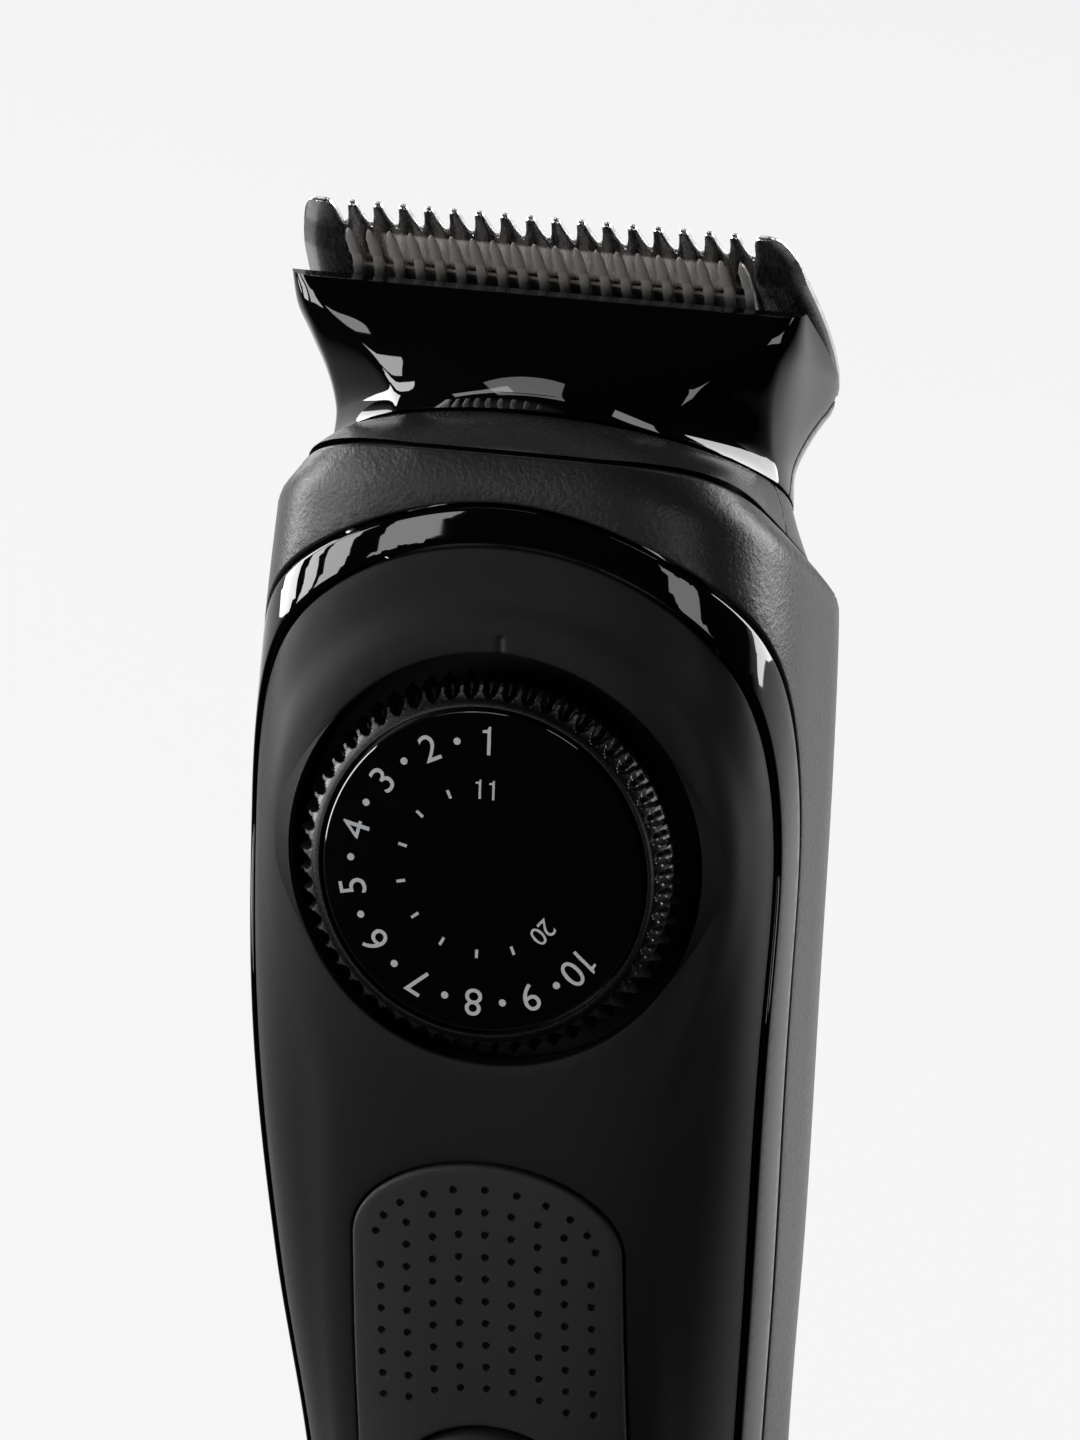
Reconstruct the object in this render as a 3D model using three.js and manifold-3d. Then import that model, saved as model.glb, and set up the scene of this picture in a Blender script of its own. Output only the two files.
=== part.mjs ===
// A cordless beard and body groomer, standing on its base: millimetres, +Z up, front towards -Y, +X to the right.
import * as THREE from "three";
import { mergeVertices } from "three/addons/utils/BufferGeometryUtils.js";
import Module from "manifold-3d";

const wasm = await Module();
wasm.setup();

// Body outline
const bodySpan = 150;
const bodyHalfWidth = 21.05;
const frontReach = 22.5;
const backReach = 18.4;
const backSquareness = 2.5;
// Each station: height, half width, front, back, how far forward the widest line lies, and the front's squareness
const stationShares = [
  [0, 0.755, 0.667, 0.842, -0.022, 2.8],
  [0.13, 0.77, 0.733, 0.842, -0.022, 2.9],
  [0.27, 0.798, 0.827, 0.826, 0, 3],
  [0.39, 0.843, 0.924, 0.815, 0.036, 3.2],
  [0.51, 0.924, 0.996, 0.815, 0.169, 3.6],
  [0.64, 0.981, 0.987, 0.837, 0.231, 4.4],
  [0.76, 1, 0.893, 0.897, 0.089, 5],
  [0.85, 0.983, 0.818, 0.957, -0.08, 4.6],
  [0.93, 0.945, 0.751, 0.995, -0.098, 3.8],
  [1, 0.912, 0.693, 1, -0.098, 3.4],
];
const wall = 2;
const seamGap = 0.3;
const overrun = 40;
const weldDistance = 0.0001;
const roundSteps = 36;
const fineSteps = 20;
const smallSteps = 12;
const screwSteps = 8;
const planePasses = 12;
const shellLevels = 11;
const padLevels = 7;
const lipLevels = 2;

// Slanted top of the body, and the collar and neck above it
const shoulderFrontY = -16;
const shoulderBelowTop = 5.8;
const shoulderFrontZ = bodySpan - shoulderBelowTop;
const neckFrontY = -11.2;
const neckAboveShoulder = 1.7;
const neckFrontZ = shoulderFrontZ + neckAboveShoulder;
const neckBackY = 13.2;
const neckDrop = 22.9;
const neckBackZ = neckFrontZ - neckDrop;
const neckHalfWidth = 17.7;
const shoulderSlope = 0.9;
const collarLipDepth = 2.6;
const collarSplitY = -2;

// Glossy bezel between the front panel and the rear shell
const bezelEdgeAhead = 6.1;
const bezelSideWidth = 4.6;
const bezelBelowTop = 9.4;
const bezelTopWidth = 3.2;
const outerArchBelowTop = 32;
const archSideSpare = 0.45;
const bezelArchSide = 0.3;
const dialBelowTop = 37;
const dialZ = bodySpan - dialBelowTop;
const bezelTop = bodySpan - bezelBelowTop;
const outerArch = {
  centre: bodySpan - outerArchBelowTop,
  halfWidth: bodyHalfWidth + archSideSpare + bezelArchSide,
  rise: outerArchBelowTop - bezelBelowTop,
};
const innerArch = {
  centre: dialZ,
  halfWidth: bodyHalfWidth + archSideSpare,
  rise: bezelTop - bezelTopWidth - dialZ,
};

// Base cap and charging socket
const baseHeight = 7;
const baseFloor = 2.5;
const baseEdge = 1;
const baseLipWall = 1.4;
const baseLipHeight = 4;
const socketWidth = 12;
const socketDepth = 8.4;
const socketHeight = 11;
const socketMouthWidth = 9.2;
const socketMouthDepth = 5.6;
const socketBore = 9;
const socketInset = 0.6;
const socketY = 0;
const chargePinRadius = 0.8;
const chargePinSpacing = 4.6;
const chargePinTip = 5;
const chargePinTop = 11.7;

// Dial, in a frame on the panel with -Y outwards
const dialSurfaceBack = 2.3;
const dialSurfaceY = dialSurfaceBack - frontReach;
const dialTilt = THREE.MathUtils.degToRad(7);
const wellDepth = 3;
const wellFloor = 1.5;
const wellCupWall = 1.5;
const ringRadius = 14.75;
const wellClearance = 1.25;
const wellRadius = ringRadius + wellClearance;
const ringToothDepth = 0.85;
const ringTeeth = 58;
const ringCrown = 3.1;
const ringSkirt = 0.4;
const ringBottom = 2.6;
const ringSlopeWidth = 1.55;
const ringRimWidth = 0.55;
const ringRimOuter = ringRadius - ringSlopeWidth;
const ringRimInner = ringRimOuter - ringRimWidth;
const faceRadius = ringRimInner - seamGap;
const faceProud = 3.4;
const faceSeat = 1.9;
const hubRadius = 3.2;
const hubClearance = 0.4;
const hubHoleRadius = hubRadius + hubClearance;
const camSetIn = 0.25;
const camRadius = ringRadius - camSetIn;
const camThickness = 2.6;
const camGap = 0.4;
const grooveFloor = 0.7;
const followerRadius = 1;
const followerPlay = 0.35;
const grooveWidth = 2 * (followerRadius + followerPlay);
const followerStart = 4;
const combTravel = 9;
const numberPitch = THREE.MathUtils.degToRad(25.4);
const numberSteps = 9;
const notchRadius = 0.8;
const dialScrewHead = 1.7;
const dialScrewShank = 0.9;
const dialScrewLength = 5.4;
const dialScrewHeadDepth = 1;
const detentHalfLength = 8.2;
const detentThickness = 0.5;
const detentNose = 0.45;
const detentPostRadius = 1.3;

// Comb carriage, sliding in the dial's frame round the motor
const carriageSideRoom = 5.25;
const carriageHalfWidth = bodyHalfWidth - carriageSideRoom;
const carriageHalfDepth = 11.8;
const carriageWall = 1.5;
const carriageSquareness = 2.8;
const carriageFront = wellDepth + wellFloor + camThickness + 2 * camGap;
const carriageLow = -8;
const carriageHigh = -1;
const followerReach = 1.6;
const tabHalfWidth = 5;
const tabAboveFollower = 2.5;
const tabTop = followerStart + tabAboveFollower;
const hookHalfWidth = 2.5;
const hookLow = -13;
const hookHigh = -9.4;
const hookReach = 7.9;
const hookLipHalfWidth = 4.6;
const hookLipDepth = 1.5;
const hookLipRise = 1.6;
const slotSpare = 0.6;

// Motor and eccentric drive
const motorY = 0;
const motorSideRoom = 10.85;
const motorRadius = bodyHalfWidth - motorSideRoom;
const motorHalfDepth = 7.5;
const motorBelowDial = 27;
const motorLength = 28;
const motorBottom = dialZ - motorBelowDial;
const motorTop = motorBottom + motorLength;
const endBellHeight = 4;
const motorBossRadius = 3;
const motorBossHeight = 1.4;
const shaftRadius = 1;
const shaftReach = 9;
const shaftTop = motorTop + shaftReach;
const shaftClearance = 0.3;
const eccentricRadius = 4.5;
const eccentricLift = 5.5;
const eccentricHeight = 5.5;
const eccentricBottom = motorTop + eccentricLift;
const eccentricTop = eccentricBottom + eccentricHeight;
const throwRadius = 1.2;
const drivePinRadius = 1.1;
const drivePinHeight = 9.5;
const drivePinTop = eccentricTop + drivePinHeight;

// Chassis, battery and circuit board
const railThickness = 1.5;
const railMotorRoom = 0.7;
const railInner = motorRadius + railMotorRoom;
const railOuter = railInner + railThickness;
const railHalfDepth = 5;
const railAboveSocket = 1;
const railBottom = socketHeight + railAboveSocket;
const shelfThickness = 1.6;
const batteryRadius = 7.1;
const batteryAboveShelf = 0.9;
const batteryBelowMotor = 22.5;
const batteryBottom = railBottom + shelfThickness + batteryAboveShelf;
const batteryLength = motorBottom - batteryBelowMotor - batteryBottom;
const batteryY = 1.5;
const batteryNubRadius = 2.7;
const batteryNubHeight = 1;
const tabStripThickness = 0.4;
const tabStripWidth = 4;
const boardY = -11.6;
const boardThickness = 1.2;
const boardHalfWidth = 9;
const boardAboveBattery = 12.5;
const boardBottom = batteryBottom + boardAboveBattery;
const boardTop = motorBottom;
const bossRadius = 2.2;
const bossInside = 4.2;
const bossX = railOuter - bossInside;
const lowBossAboveBase = 12;
const highBossBelowMotor = 14;
const bossHeights = [baseHeight + lowBossAboveBase, motorBottom - highBossBelowMotor];
const caseScrewHead = 1.6;
const caseScrewShank = 0.9;
const caseScrewLength = 3.2;
const caseScrewHeadDepth = 1;
const tabPlateY = 8;
const tabPlateThickness = 1.2;
const tabPlateInside = 0.8;
const tabPlateOuter = railOuter - tabPlateInside;
const tabPlateHeight = 5;
const motorScrewInside = 3.95;
const motorScrewX = motorRadius - motorScrewInside;
const motorScrewHead = 1.5;
const motorScrewShank = 0.8;
const motorScrewLength = 3.4;

// Grip pad, button and status light
const padBelowDial = 24.7;
const padLength = 42.8;
const padTop = dialZ - padBelowDial;
const padBottom = padTop - padLength;
const padHalfWidth = 10.85;
const padArch = 6.7;
const padProud = 0.3;
const padInset = 0.8;
const buttonAbovePadEnd = 13;
const buttonZ = padBottom + buttonAbovePadEnd;
const buttonRadius = 8.3;
const buttonClearance = 0.35;
const buttonProud = 1.3;
const buttonDome = 0.5;
const buttonFlangeWidth = 1;
const buttonFlangeRadius = buttonRadius + buttonFlangeWidth;
const buttonFlangeSetback = 4.8;
const buttonFlangeThickness = 1;
const buttonStemRadius = 1.5;
const buttonTravel = 0.7;
const switchSize = 6;
const switchBody = 1.6;
const switchPlungerRadius = 1.6;
const switchPlungerHeight = 0.5;
const switchTravelGap = 0.2;
const lightBelowPad = 14.5;
const lightZ = padBottom - lightBelowPad;
const lightRadius = 1.3;
const lightFlangeWidth = 0.7;
const lightFlangeRadius = lightRadius + lightFlangeWidth;
const lightFlangeThickness = 0.6;
const lightFlangeSetback = 2.6;
const lightProud = 0.15;
const ledWidth = 3;
const ledHeight = 2;
const ledThickness = 1.2;

// Blade set, in a frame at the tips with +Z along the teeth and +Y out of the skin side
const tipY = -5;
const tipAboveNeck = 13.3;
const tipZ = neckFrontZ + tipAboveNeck;
const bladeTilt = THREE.MathUtils.degToRad(40.8);
const bladeHalfWidth = 20;
const bladeLength = 24.3;
const bladeThickness = 1;
const toothPitch = 1.97;
const toothLength = 3.3;
const toothRootWidth = 1.62;
const toothTipWidth = 0.7;
const toothTipDrop = 0.35;
const guardWidth = 4;
const guardShoulder = 1.5;
const guardInner = bladeHalfWidth - guardWidth;
const guardTip = bladeHalfWidth - guardShoulder;
const toothCount = Math.floor((2 * guardInner) / toothPitch);
const moverGap = 0.3;
const moverThickness = 0.8;
const moverDrop = 2.2;
const moverLength = 14;
const moverPitch = 1.6;
const moverSideRoom = 4.3;
const moverToothLength = 5;
const moverToothRoot = 1;
const moverHalfWidth = bladeHalfWidth - moverSideRoom;
const moverCount = Math.floor((2 * moverHalfWidth - moverToothRoot + seamGap / 2) / moverPitch) + 1;
const moverToothTip = 0.35;
const moverSwing = 1.2;
const carrierHalfWidth = 9;
const carrierThickness = 2.4;
const carrierLow = -15.2;
const carrierHigh = -9.6;
const prongPlay = 0.3;
const prongThickness = 1.5;
const prongInner = throwRadius + drivePinRadius + moverSwing + prongPlay;
const prongOuter = prongInner + prongThickness;
const prongFrontY = -1.8;
const prongBackY = 2.8;
const prongOverPin = 4;
const prongBottomZ = drivePinTop - prongOverPin;
const prongBite = 1.4;
const bladeScrewInside = 7.6;
const bladeScrewX = bladeHalfWidth - bladeScrewInside;
const bladeScrewZ = -20;
const bladeScrewHead = 1.7;
const bladeScrewShank = 0.9;
const bladeScrewLength = 3.4;
const bladeScrewHeadHeight = 0.7;
const bladeSpringThickness = 0.4;
const bladeSpringHeight = 1.6;
const bladeSpringZ = -12.4;
const pocketSpare = 0.8;
const pocketTop = -8.8;

// Head housing, from the neck up to the lip below the blade's teeth
const lipFrontY = -4.3;
const lipBackY = -2.2;
const lipAboveNeck = 6.8;
const lipBackAboveNeck = 8;
const bladeOverLip = 1.2;
const lipFrontZ = neckFrontZ + lipAboveNeck;
const lipBackZ = neckFrontZ + lipBackAboveNeck;
const lipHalfWidth = bladeHalfWidth - bladeOverLip;
// Each rib's way from the neck to the lip: front y and z, back y and z, half width; then its squareness
const headRibShares = [
  [0, 0, 0, 0, 0, 2.1],
  [0.232, 0.103, -0.026, 0.178, -0.154, 2.3],
  [0.478, 0.279, -0.0065, 0.356, 0.077, 2.8],
  [0.681, 0.5, 0.117, 0.524, 0.462, 4],
  [0.841, 0.75, 0.455, 0.689, 0.769, 6],
  [1, 1, 1, 1, 1, 9],
];
const between = (from, to, share) => from + (to - from) * share;
const headRibs = headRibShares.map(([frontY, frontZ, backY, backZ, side, squareness]) => ({
  front: [between(neckFrontY, lipFrontY, frontY), between(neckFrontZ, lipFrontZ, frontZ)],
  back: [between(neckBackY, lipBackY, backY), between(neckBackZ, lipBackZ, backZ)],
  halfWidth: between(neckHalfWidth, lipHalfWidth, side),
  squareness,
}));
const frontHousingWall = 1.6;
const rearHousingWall = 2.4;
const spigotInset = 2;
const spigotWall = 1.2;
const spigotBelow = 3;
const spigotAbove = 2;
const partingFrontY = -1;
const partingBackY = 10;
const partingFrontBelowNeck = 10.9;
const partingBackBelowNeck = 4.5;
const partingFront = [partingFrontY, neckFrontZ - partingFrontBelowNeck];
const partingBack = [partingBackY, neckFrontZ - partingBackBelowNeck];
const moverSlotSide = 2.8;
const moverSlotHalfWidth = bladeHalfWidth - moverSlotSide;
const bridgeDepth = 3.2;
const bridgeLow = -23;
const bridgeHigh = -17.6;

// Materials
const plastic = (color, roughness) => new THREE.MeshStandardMaterial({ color, roughness, metalness: 0 });
const metal = (color, roughness) => new THREE.MeshStandardMaterial({ color, roughness, metalness: 1 });
const looks = {
  shell: () => plastic(0x1b1b1d, 0.5),
  matte: () => plastic(0x151516, 0.7),
  gloss: () => plastic(0x050506, 0.08),
  rubber: () => plastic(0x202022, 0.85),
  inner: () => plastic(0x33363a, 0.6),
  cream: () => plastic(0xd8d4c8, 0.5),
  steel: () => metal(0xb9b9bb, 0.3),
  zinc: () => metal(0x9c9ea2, 0.4),
  nickel: () => metal(0xc9c7bf, 0.35),
  brass: () => metal(0xb8923c, 0.35),
  battery: () => plastic(0x3f6f57, 0.45),
  board: () => plastic(0x1d4a32, 0.5),
  lens: () => plastic(0xdfe4e6, 0.2),
  led: () => plastic(0xe8e2b0, 0.3),
};

const part = new THREE.Group();
const dialFrame = new THREE.Group();
dialFrame.position.set(0, dialSurfaceY, dialZ);
dialFrame.rotation.x = -dialTilt;
const bladeFrame = new THREE.Group();
bladeFrame.position.set(0, tipY, tipZ);
bladeFrame.rotation.x = bladeTilt;
part.add(dialFrame, bladeFrame);
part.updateMatrixWorld(true);

// Solids
function solid(geometry) {
  const bare = geometry.index ? geometry.toNonIndexed() : geometry.clone();
  bare.deleteAttribute("normal");
  bare.deleteAttribute("uv");
  const merged = mergeVertices(bare, weldDistance);
  return new wasm.Manifold(
    new wasm.Mesh({
      numProp: 3,
      vertProperties: new Float32Array(merged.attributes.position.array),
      triVerts: new Uint32Array(merged.index.array),
    }),
  );
}

function geometryOf(made) {
  const mesh = made.getMesh();
  const geometry = new THREE.BufferGeometry();
  geometry.setAttribute("position", new THREE.BufferAttribute(new Float32Array(mesh.vertProperties), 3));
  geometry.setIndex(new THREE.BufferAttribute(new Uint32Array(mesh.triVerts), 1));
  const faceted = geometry.toNonIndexed();
  faceted.computeVertexNormals();
  return faceted;
}

const joined = (first, ...rest) => rest.reduce((sum, next) => sum.add(next), first);
const without = (first, ...rest) => rest.reduce((left, next) => left.subtract(next), first);
const common = (first, ...rest) => rest.reduce((both, next) => both.intersect(next), first);

function addPiece(name, made, material, parent = part) {
  const mesh = new THREE.Mesh(geometryOf(made), material);
  mesh.name = name;
  parent.add(mesh);
  return mesh;
}

// A solid drawn in one of the turned frames, moved to the part's own frame
const placed = (made, frame) => solid(geometryOf(made).applyMatrix4(frame.matrixWorld));

function block(low, high) {
  const size = high.map((value, axis) => value - low[axis]);
  const centre = high.map((value, axis) => (value + low[axis]) / 2);
  return solid(new THREE.BoxGeometry(...size).translate(...centre));
}

// The low and high x of a span that lies on one side of the middle
const spanOn = (side, inner, outer) => (side < 0 ? [-outer, -inner] : [inner, outer]);

function rod(radius, from, to, steps = smallSteps, endRadius = radius) {
  const start = new THREE.Vector3(...from);
  const end = new THREE.Vector3(...to);
  const along = end.clone().sub(start);
  const geometry = new THREE.CylinderGeometry(endRadius, radius, along.length(), steps);
  geometry.applyQuaternion(new THREE.Quaternion().setFromUnitVectors(new THREE.Vector3(0, 1, 0), along.normalize()));
  const middle = start.add(end).divideScalar(2);
  return solid(geometry.translate(middle.x, middle.y, middle.z));
}

// An outline of [across, up] points, pushed along the third axis of its view
const views = {
  side: new THREE.Matrix4().makeBasis(new THREE.Vector3(0, 1, 0), new THREE.Vector3(0, 0, 1), new THREE.Vector3(1, 0, 0)),
  front: new THREE.Matrix4().makeBasis(new THREE.Vector3(1, 0, 0), new THREE.Vector3(0, 0, 1), new THREE.Vector3(0, -1, 0)),
  top: new THREE.Matrix4(),
};

function prism(view, outline, from, to) {
  const shape = new THREE.Shape(outline.map(([across, up]) => new THREE.Vector2(across, up)));
  const geometry = new THREE.ExtrudeGeometry(shape, { depth: to - from, bevelEnabled: false, curveSegments: fineSteps });
  return solid(geometry.translate(0, 0, from).applyMatrix4(views[view]));
}

// A closed skin over rings of points that all turn the same way, from the lowest ring up
function loft(rings) {
  const count = rings[0].length;
  const points = rings.flat();
  const faces = [];
  for (let level = 0; level < rings.length - 1; level += 1) {
    for (let step = 0; step < count; step += 1) {
      const next = (step + 1) % count;
      const low = level * count;
      const high = low + count;
      faces.push(low + step, low + next, high + next, low + step, high + next, high + step);
    }
  }
  const middleOf = (ring) => ring.reduce((sum, point) => sum.add(point), new THREE.Vector3()).divideScalar(count);
  const bottom = points.push(middleOf(rings[0])) - 1;
  const top = points.push(middleOf(rings[rings.length - 1])) - 1;
  const last = (rings.length - 1) * count;
  for (let step = 0; step < count; step += 1) {
    const next = (step + 1) % count;
    faces.push(bottom, next, step, top, last + step, last + next);
  }
  const geometry = new THREE.BufferGeometry().setFromPoints(points);
  geometry.setIndex(faces);
  return solid(geometry);
}

function unitPoint(step, steps, squarenessAt) {
  const angle = (2 * Math.PI * step) / steps;
  const across = Math.cos(angle);
  const along = Math.sin(angle);
  const power = 2 / squarenessAt(along);
  return [Math.sign(across) * Math.abs(across) ** power, Math.sign(along) * Math.abs(along) ** power];
}

const unitRing = (steps, squarenessAt) => Array.from({ length: steps }, (_, step) => unitPoint(step, steps, squarenessAt));

// Body surface
function stationAt(height) {
  const share = THREE.MathUtils.clamp(height / bodySpan, 0, 1);
  let index = stationShares.findIndex((row) => row[0] > share) - 1;
  if (index < 0) index = stationShares.length - 2;
  const row = (offset) => stationShares[THREE.MathUtils.clamp(index + offset, 0, stationShares.length - 1)];
  const [before, low, high, after] = [row(-1), row(0), row(1), row(2)];
  const run = high[0] - low[0];
  const t = (share - low[0]) / run;
  return low.map((value, column) => {
    const slopeLow = ((high[column] - before[column]) / (high[0] - before[0])) * run;
    const slopeHigh = ((after[column] - value) / (after[0] - low[0])) * run;
    const rise = t * t * (3 - 2 * t);
    return value + (high[column] - value) * rise + slopeLow * t * (1 - t) ** 2 - slopeHigh * t * t * (1 - t);
  });
}

function sectionAt(height) {
  const [, halfShare, frontShare, backShare, aheadShare, squareness] = stationAt(height);
  return {
    halfWidth: halfShare * bodyHalfWidth,
    front: frontShare * frontReach,
    back: backShare * backReach,
    ahead: aheadShare * frontReach,
    squareness,
  };
}

// One ring of the body's skin, at one height or where a slanted plane meets it
function bodyRing(height, inset, heightOf = () => height) {
  const ring = [];
  for (let step = 0; step < roundSteps; step += 1) {
    let level = height;
    let point = null;
    for (let pass = 0; pass < planePasses; pass += 1) {
      const here = sectionAt(level);
      const [across, along] = unitPoint(step, roundSteps, (side) => (side < 0 ? here.squareness : backSquareness));
      const reach = along < 0 ? here.front - here.ahead : here.back + here.ahead;
      const y = along * (reach - inset) - here.ahead;
      point = new THREE.Vector3(across * (here.halfWidth - inset), y, level);
      level = heightOf(y);
    }
    ring.push(point.setZ(level));
  }
  return ring;
}

function bodyLoft(bottom, top, inset, levels) {
  const rings = [];
  for (let level = 0; level <= levels; level += 1) {
    rings.push(bodyRing(bottom + ((top - bottom) * level) / levels, inset));
  }
  return loft(rings);
}

const surfaceY = (height) => -sectionAt(height).front;
const shoulderHeight = (y, lift = 0) => shoulderFrontZ + lift - shoulderSlope * (y - shoulderFrontY);

// Everything below a slanted plane, given by its height at any y
function belowPlane(heightOf) {
  const outline = [
    [-overrun, -overrun],
    [overrun, -overrun],
    [overrun, heightOf(overrun)],
    [-overrun, heightOf(-overrun)],
  ];
  return prism("side", outline, -overrun, overrun);
}

// The space in front of the bezel's outer or inner edge, drawn in by a gap
function frontRegion(arch, ahead, gap) {
  const sideOutline = [
    [-2 * overrun, -overrun],
    [-2 * overrun, bodySpan + overrun],
  ];
  for (let level = fineSteps; level >= 0; level -= 1) {
    const height = (bodySpan * level) / fineSteps;
    const y = -(sectionAt(height).ahead + ahead) - gap;
    if (level === fineSteps) sideOutline.push([y, bodySpan + overrun]);
    sideOutline.push([y, height]);
    if (level === 0) sideOutline.push([y, -overrun]);
  }
  sideOutline.reverse();
  const frontOutline = [
    [-arch.halfWidth + gap, -overrun],
    [arch.halfWidth - gap, -overrun],
  ];
  for (let step = 0; step <= fineSteps; step += 1) {
    const angle = (Math.PI * step) / fineSteps;
    frontOutline.push([
      (arch.halfWidth - gap) * Math.cos(angle),
      arch.centre + (arch.rise - gap) * Math.sin(angle),
    ]);
  }
  return common(
    prism("side", sideOutline, -overrun, overrun),
    prism("front", frontOutline, -overrun, 2 * overrun),
  );
}

const caseBottom = baseHeight + seamGap;
const bodyShell = without(
  bodyLoft(caseBottom, bodySpan, 0, shellLevels),
  bodyLoft(baseHeight, bodySpan + seamGap, wall, shellLevels),
);

function carriageSlotCutter() {
  return placed(
    block(
      [-hookHalfWidth - slotSpare, carriageFront + 2 * carriageHalfDepth, hookLow - slotSpare],
      [hookHalfWidth + slotSpare, overrun + carriageFront, hookHigh + combTravel + slotSpare],
    ),
    dialFrame,
  );
}

function makeRearShell() {
  const top = belowPlane((y) => shoulderHeight(y, -seamGap));
  const cut = without(bodyShell, frontRegion(outerArch, bezelEdgeAhead, 0), carriageSlotCutter());
  const shellInside = bodyLoft(caseBottom, bodySpan, wall / 2, shellLevels);
  const bosses = [];
  for (const height of bossHeights) {
    for (const side of [-1, 1]) {
      const from = tabPlateY + tabPlateThickness + seamGap;
      const boss = rod(bossRadius, [side * bossX, from, height], [side * bossX, backReach, height]);
      const hole = rod(
        caseScrewShank + seamGap / 2,
        [side * bossX, from - wall, height],
        [side * bossX, tabPlateY + caseScrewLength + seamGap, height],
      );
      bosses.push(without(common(boss, shellInside), hole));
    }
  }
  addPiece("rear_shell", common(joined(cut, ...bosses), top), looks.shell());
}

function makeBezel() {
  const strip = without(
    common(bodyShell, frontRegion(outerArch, bezelEdgeAhead, seamGap)),
    frontRegion(innerArch, bezelEdgeAhead + bezelSideWidth, 0),
  );
  addPiece("bezel_trim", strip, looks.gloss());
}

function padOutline(grow) {
  const points = [];
  const half = padHalfWidth + grow;
  for (let step = 0; step <= fineSteps; step += 1) {
    const angle = (Math.PI * step) / fineSteps;
    points.push([half * Math.cos(angle), padTop - padArch + (padArch + grow) * Math.sin(angle)]);
  }
  for (let step = 0; step <= fineSteps; step += 1) {
    const angle = Math.PI + (Math.PI * step) / fineSteps;
    points.push([half * Math.cos(angle), padBottom + padHalfWidth + half * Math.sin(angle)]);
  }
  return points;
}

const buttonSurface = surfaceY(buttonZ);
const lightSurface = surfaceY(lightZ);
const padBand = (inset) => bodyLoft(padBottom - padHalfWidth, padTop + padArch, inset, padLevels);

function makeFrontPanel() {
  const region = frontRegion(innerArch, bezelEdgeAhead + bezelSideWidth, seamGap);
  const cupBack = wellDepth + wellFloor;
  const cupRadius = wellRadius + wellCupWall;
  const cup = placed(rod(cupRadius, [0, wall / 2, 0], [0, cupBack, 0], roundSteps), dialFrame);
  const behind = bodyLoft(caseBottom, bodySpan, wall / 2, shellLevels);
  const posts = [-1, 1].map((side) => {
    const x = side * detentHalfLength;
    const z = -camRadius - detentNose - 2 * detentPostRadius;
    return rod(detentPostRadius, [x, wall / 2, z], [x, cupBack + camThickness + camGap, z]);
  });
  const postsPlaced = posts.map((post) => common(placed(post, dialFrame), behind));
  const well = placed(rod(wellRadius, [0, -overrun, 0], [0, wellDepth, 0], roundSteps), dialFrame);
  const hubHole = placed(rod(hubHoleRadius, [0, 0, 0], [0, overrun, 0], fineSteps), dialFrame);
  const recess = without(prism("front", padOutline(seamGap), 0, overrun), padBand(padInset + seamGap));
  const buttonHole = rod(buttonRadius + buttonClearance, [0, -overrun, buttonZ], [0, 0, buttonZ], fineSteps);
  const lightHole = rod(lightRadius + seamGap / 2, [0, -overrun, lightZ], [0, 0, lightZ]);
  const body = joined(common(bodyShell, region), common(cup, behind), ...postsPlaced);
  addPiece("front_panel", without(body, well, hubHole, recess, buttonHole, lightHole), looks.matte());
}

function makeGripPad() {
  const band = without(padBand(-padProud), padBand(padInset));
  const outline = prism("front", padOutline(0), 0, overrun);
  const hole = rod(buttonRadius + buttonClearance, [0, -overrun, buttonZ], [0, 0, buttonZ], fineSteps);
  addPiece("grip_pad", without(common(band, outline), hole), looks.rubber());
}

const boardFront = boardY;
const buttonBack = boardFront - switchBody - switchPlungerHeight - switchTravelGap - buttonTravel;

function makeButton() {
  const front = buttonSurface - buttonProud;
  const flangeFront = buttonSurface + buttonFlangeSetback;
  const flangeBack = flangeFront + buttonFlangeThickness;
  const profile = [
    [0, buttonBack],
    [buttonStemRadius, buttonBack],
    [buttonStemRadius, flangeBack],
    [buttonFlangeRadius, flangeBack],
    [buttonFlangeRadius, flangeFront],
    [buttonRadius, flangeFront],
    [buttonRadius, front + buttonDome],
    [buttonRadius - buttonDome, front + buttonDome / 2],
    [buttonRadius / 2, front],
    [0, front],
  ];
  addPiece("power_button", lathed(profile, fineSteps, [0, buttonZ]), looks.matte());
}

// A turned piece on an axis along Y: profile points are [radius, y], from the back of the axis round to its front
function lathed(profile, steps, [x, z] = [0, 0]) {
  const points = profile.map(([radius, y]) => new THREE.Vector2(radius, y)).reverse();
  return solid(new THREE.LatheGeometry(points, steps).translate(x, 0, z));
}

function makeStatusLight() {
  const flangeFront = lightSurface + lightFlangeSetback;
  const profile = [
    [0, flangeFront + lightFlangeThickness],
    [lightFlangeRadius, flangeFront + lightFlangeThickness],
    [lightFlangeRadius, flangeFront],
    [lightRadius, flangeFront],
    [lightRadius, lightSurface - lightProud],
    [0, lightSurface - lightProud],
  ];
  addPiece("light_pipe", lathed(profile, smallSteps, [0, lightZ]), looks.lens());
  const led = block(
    [-ledWidth / 2, boardFront - ledThickness, lightZ - ledHeight / 2],
    [ledWidth / 2, boardFront, lightZ + ledHeight / 2],
  );
  addPiece("status_led", led, looks.led());
}

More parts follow.
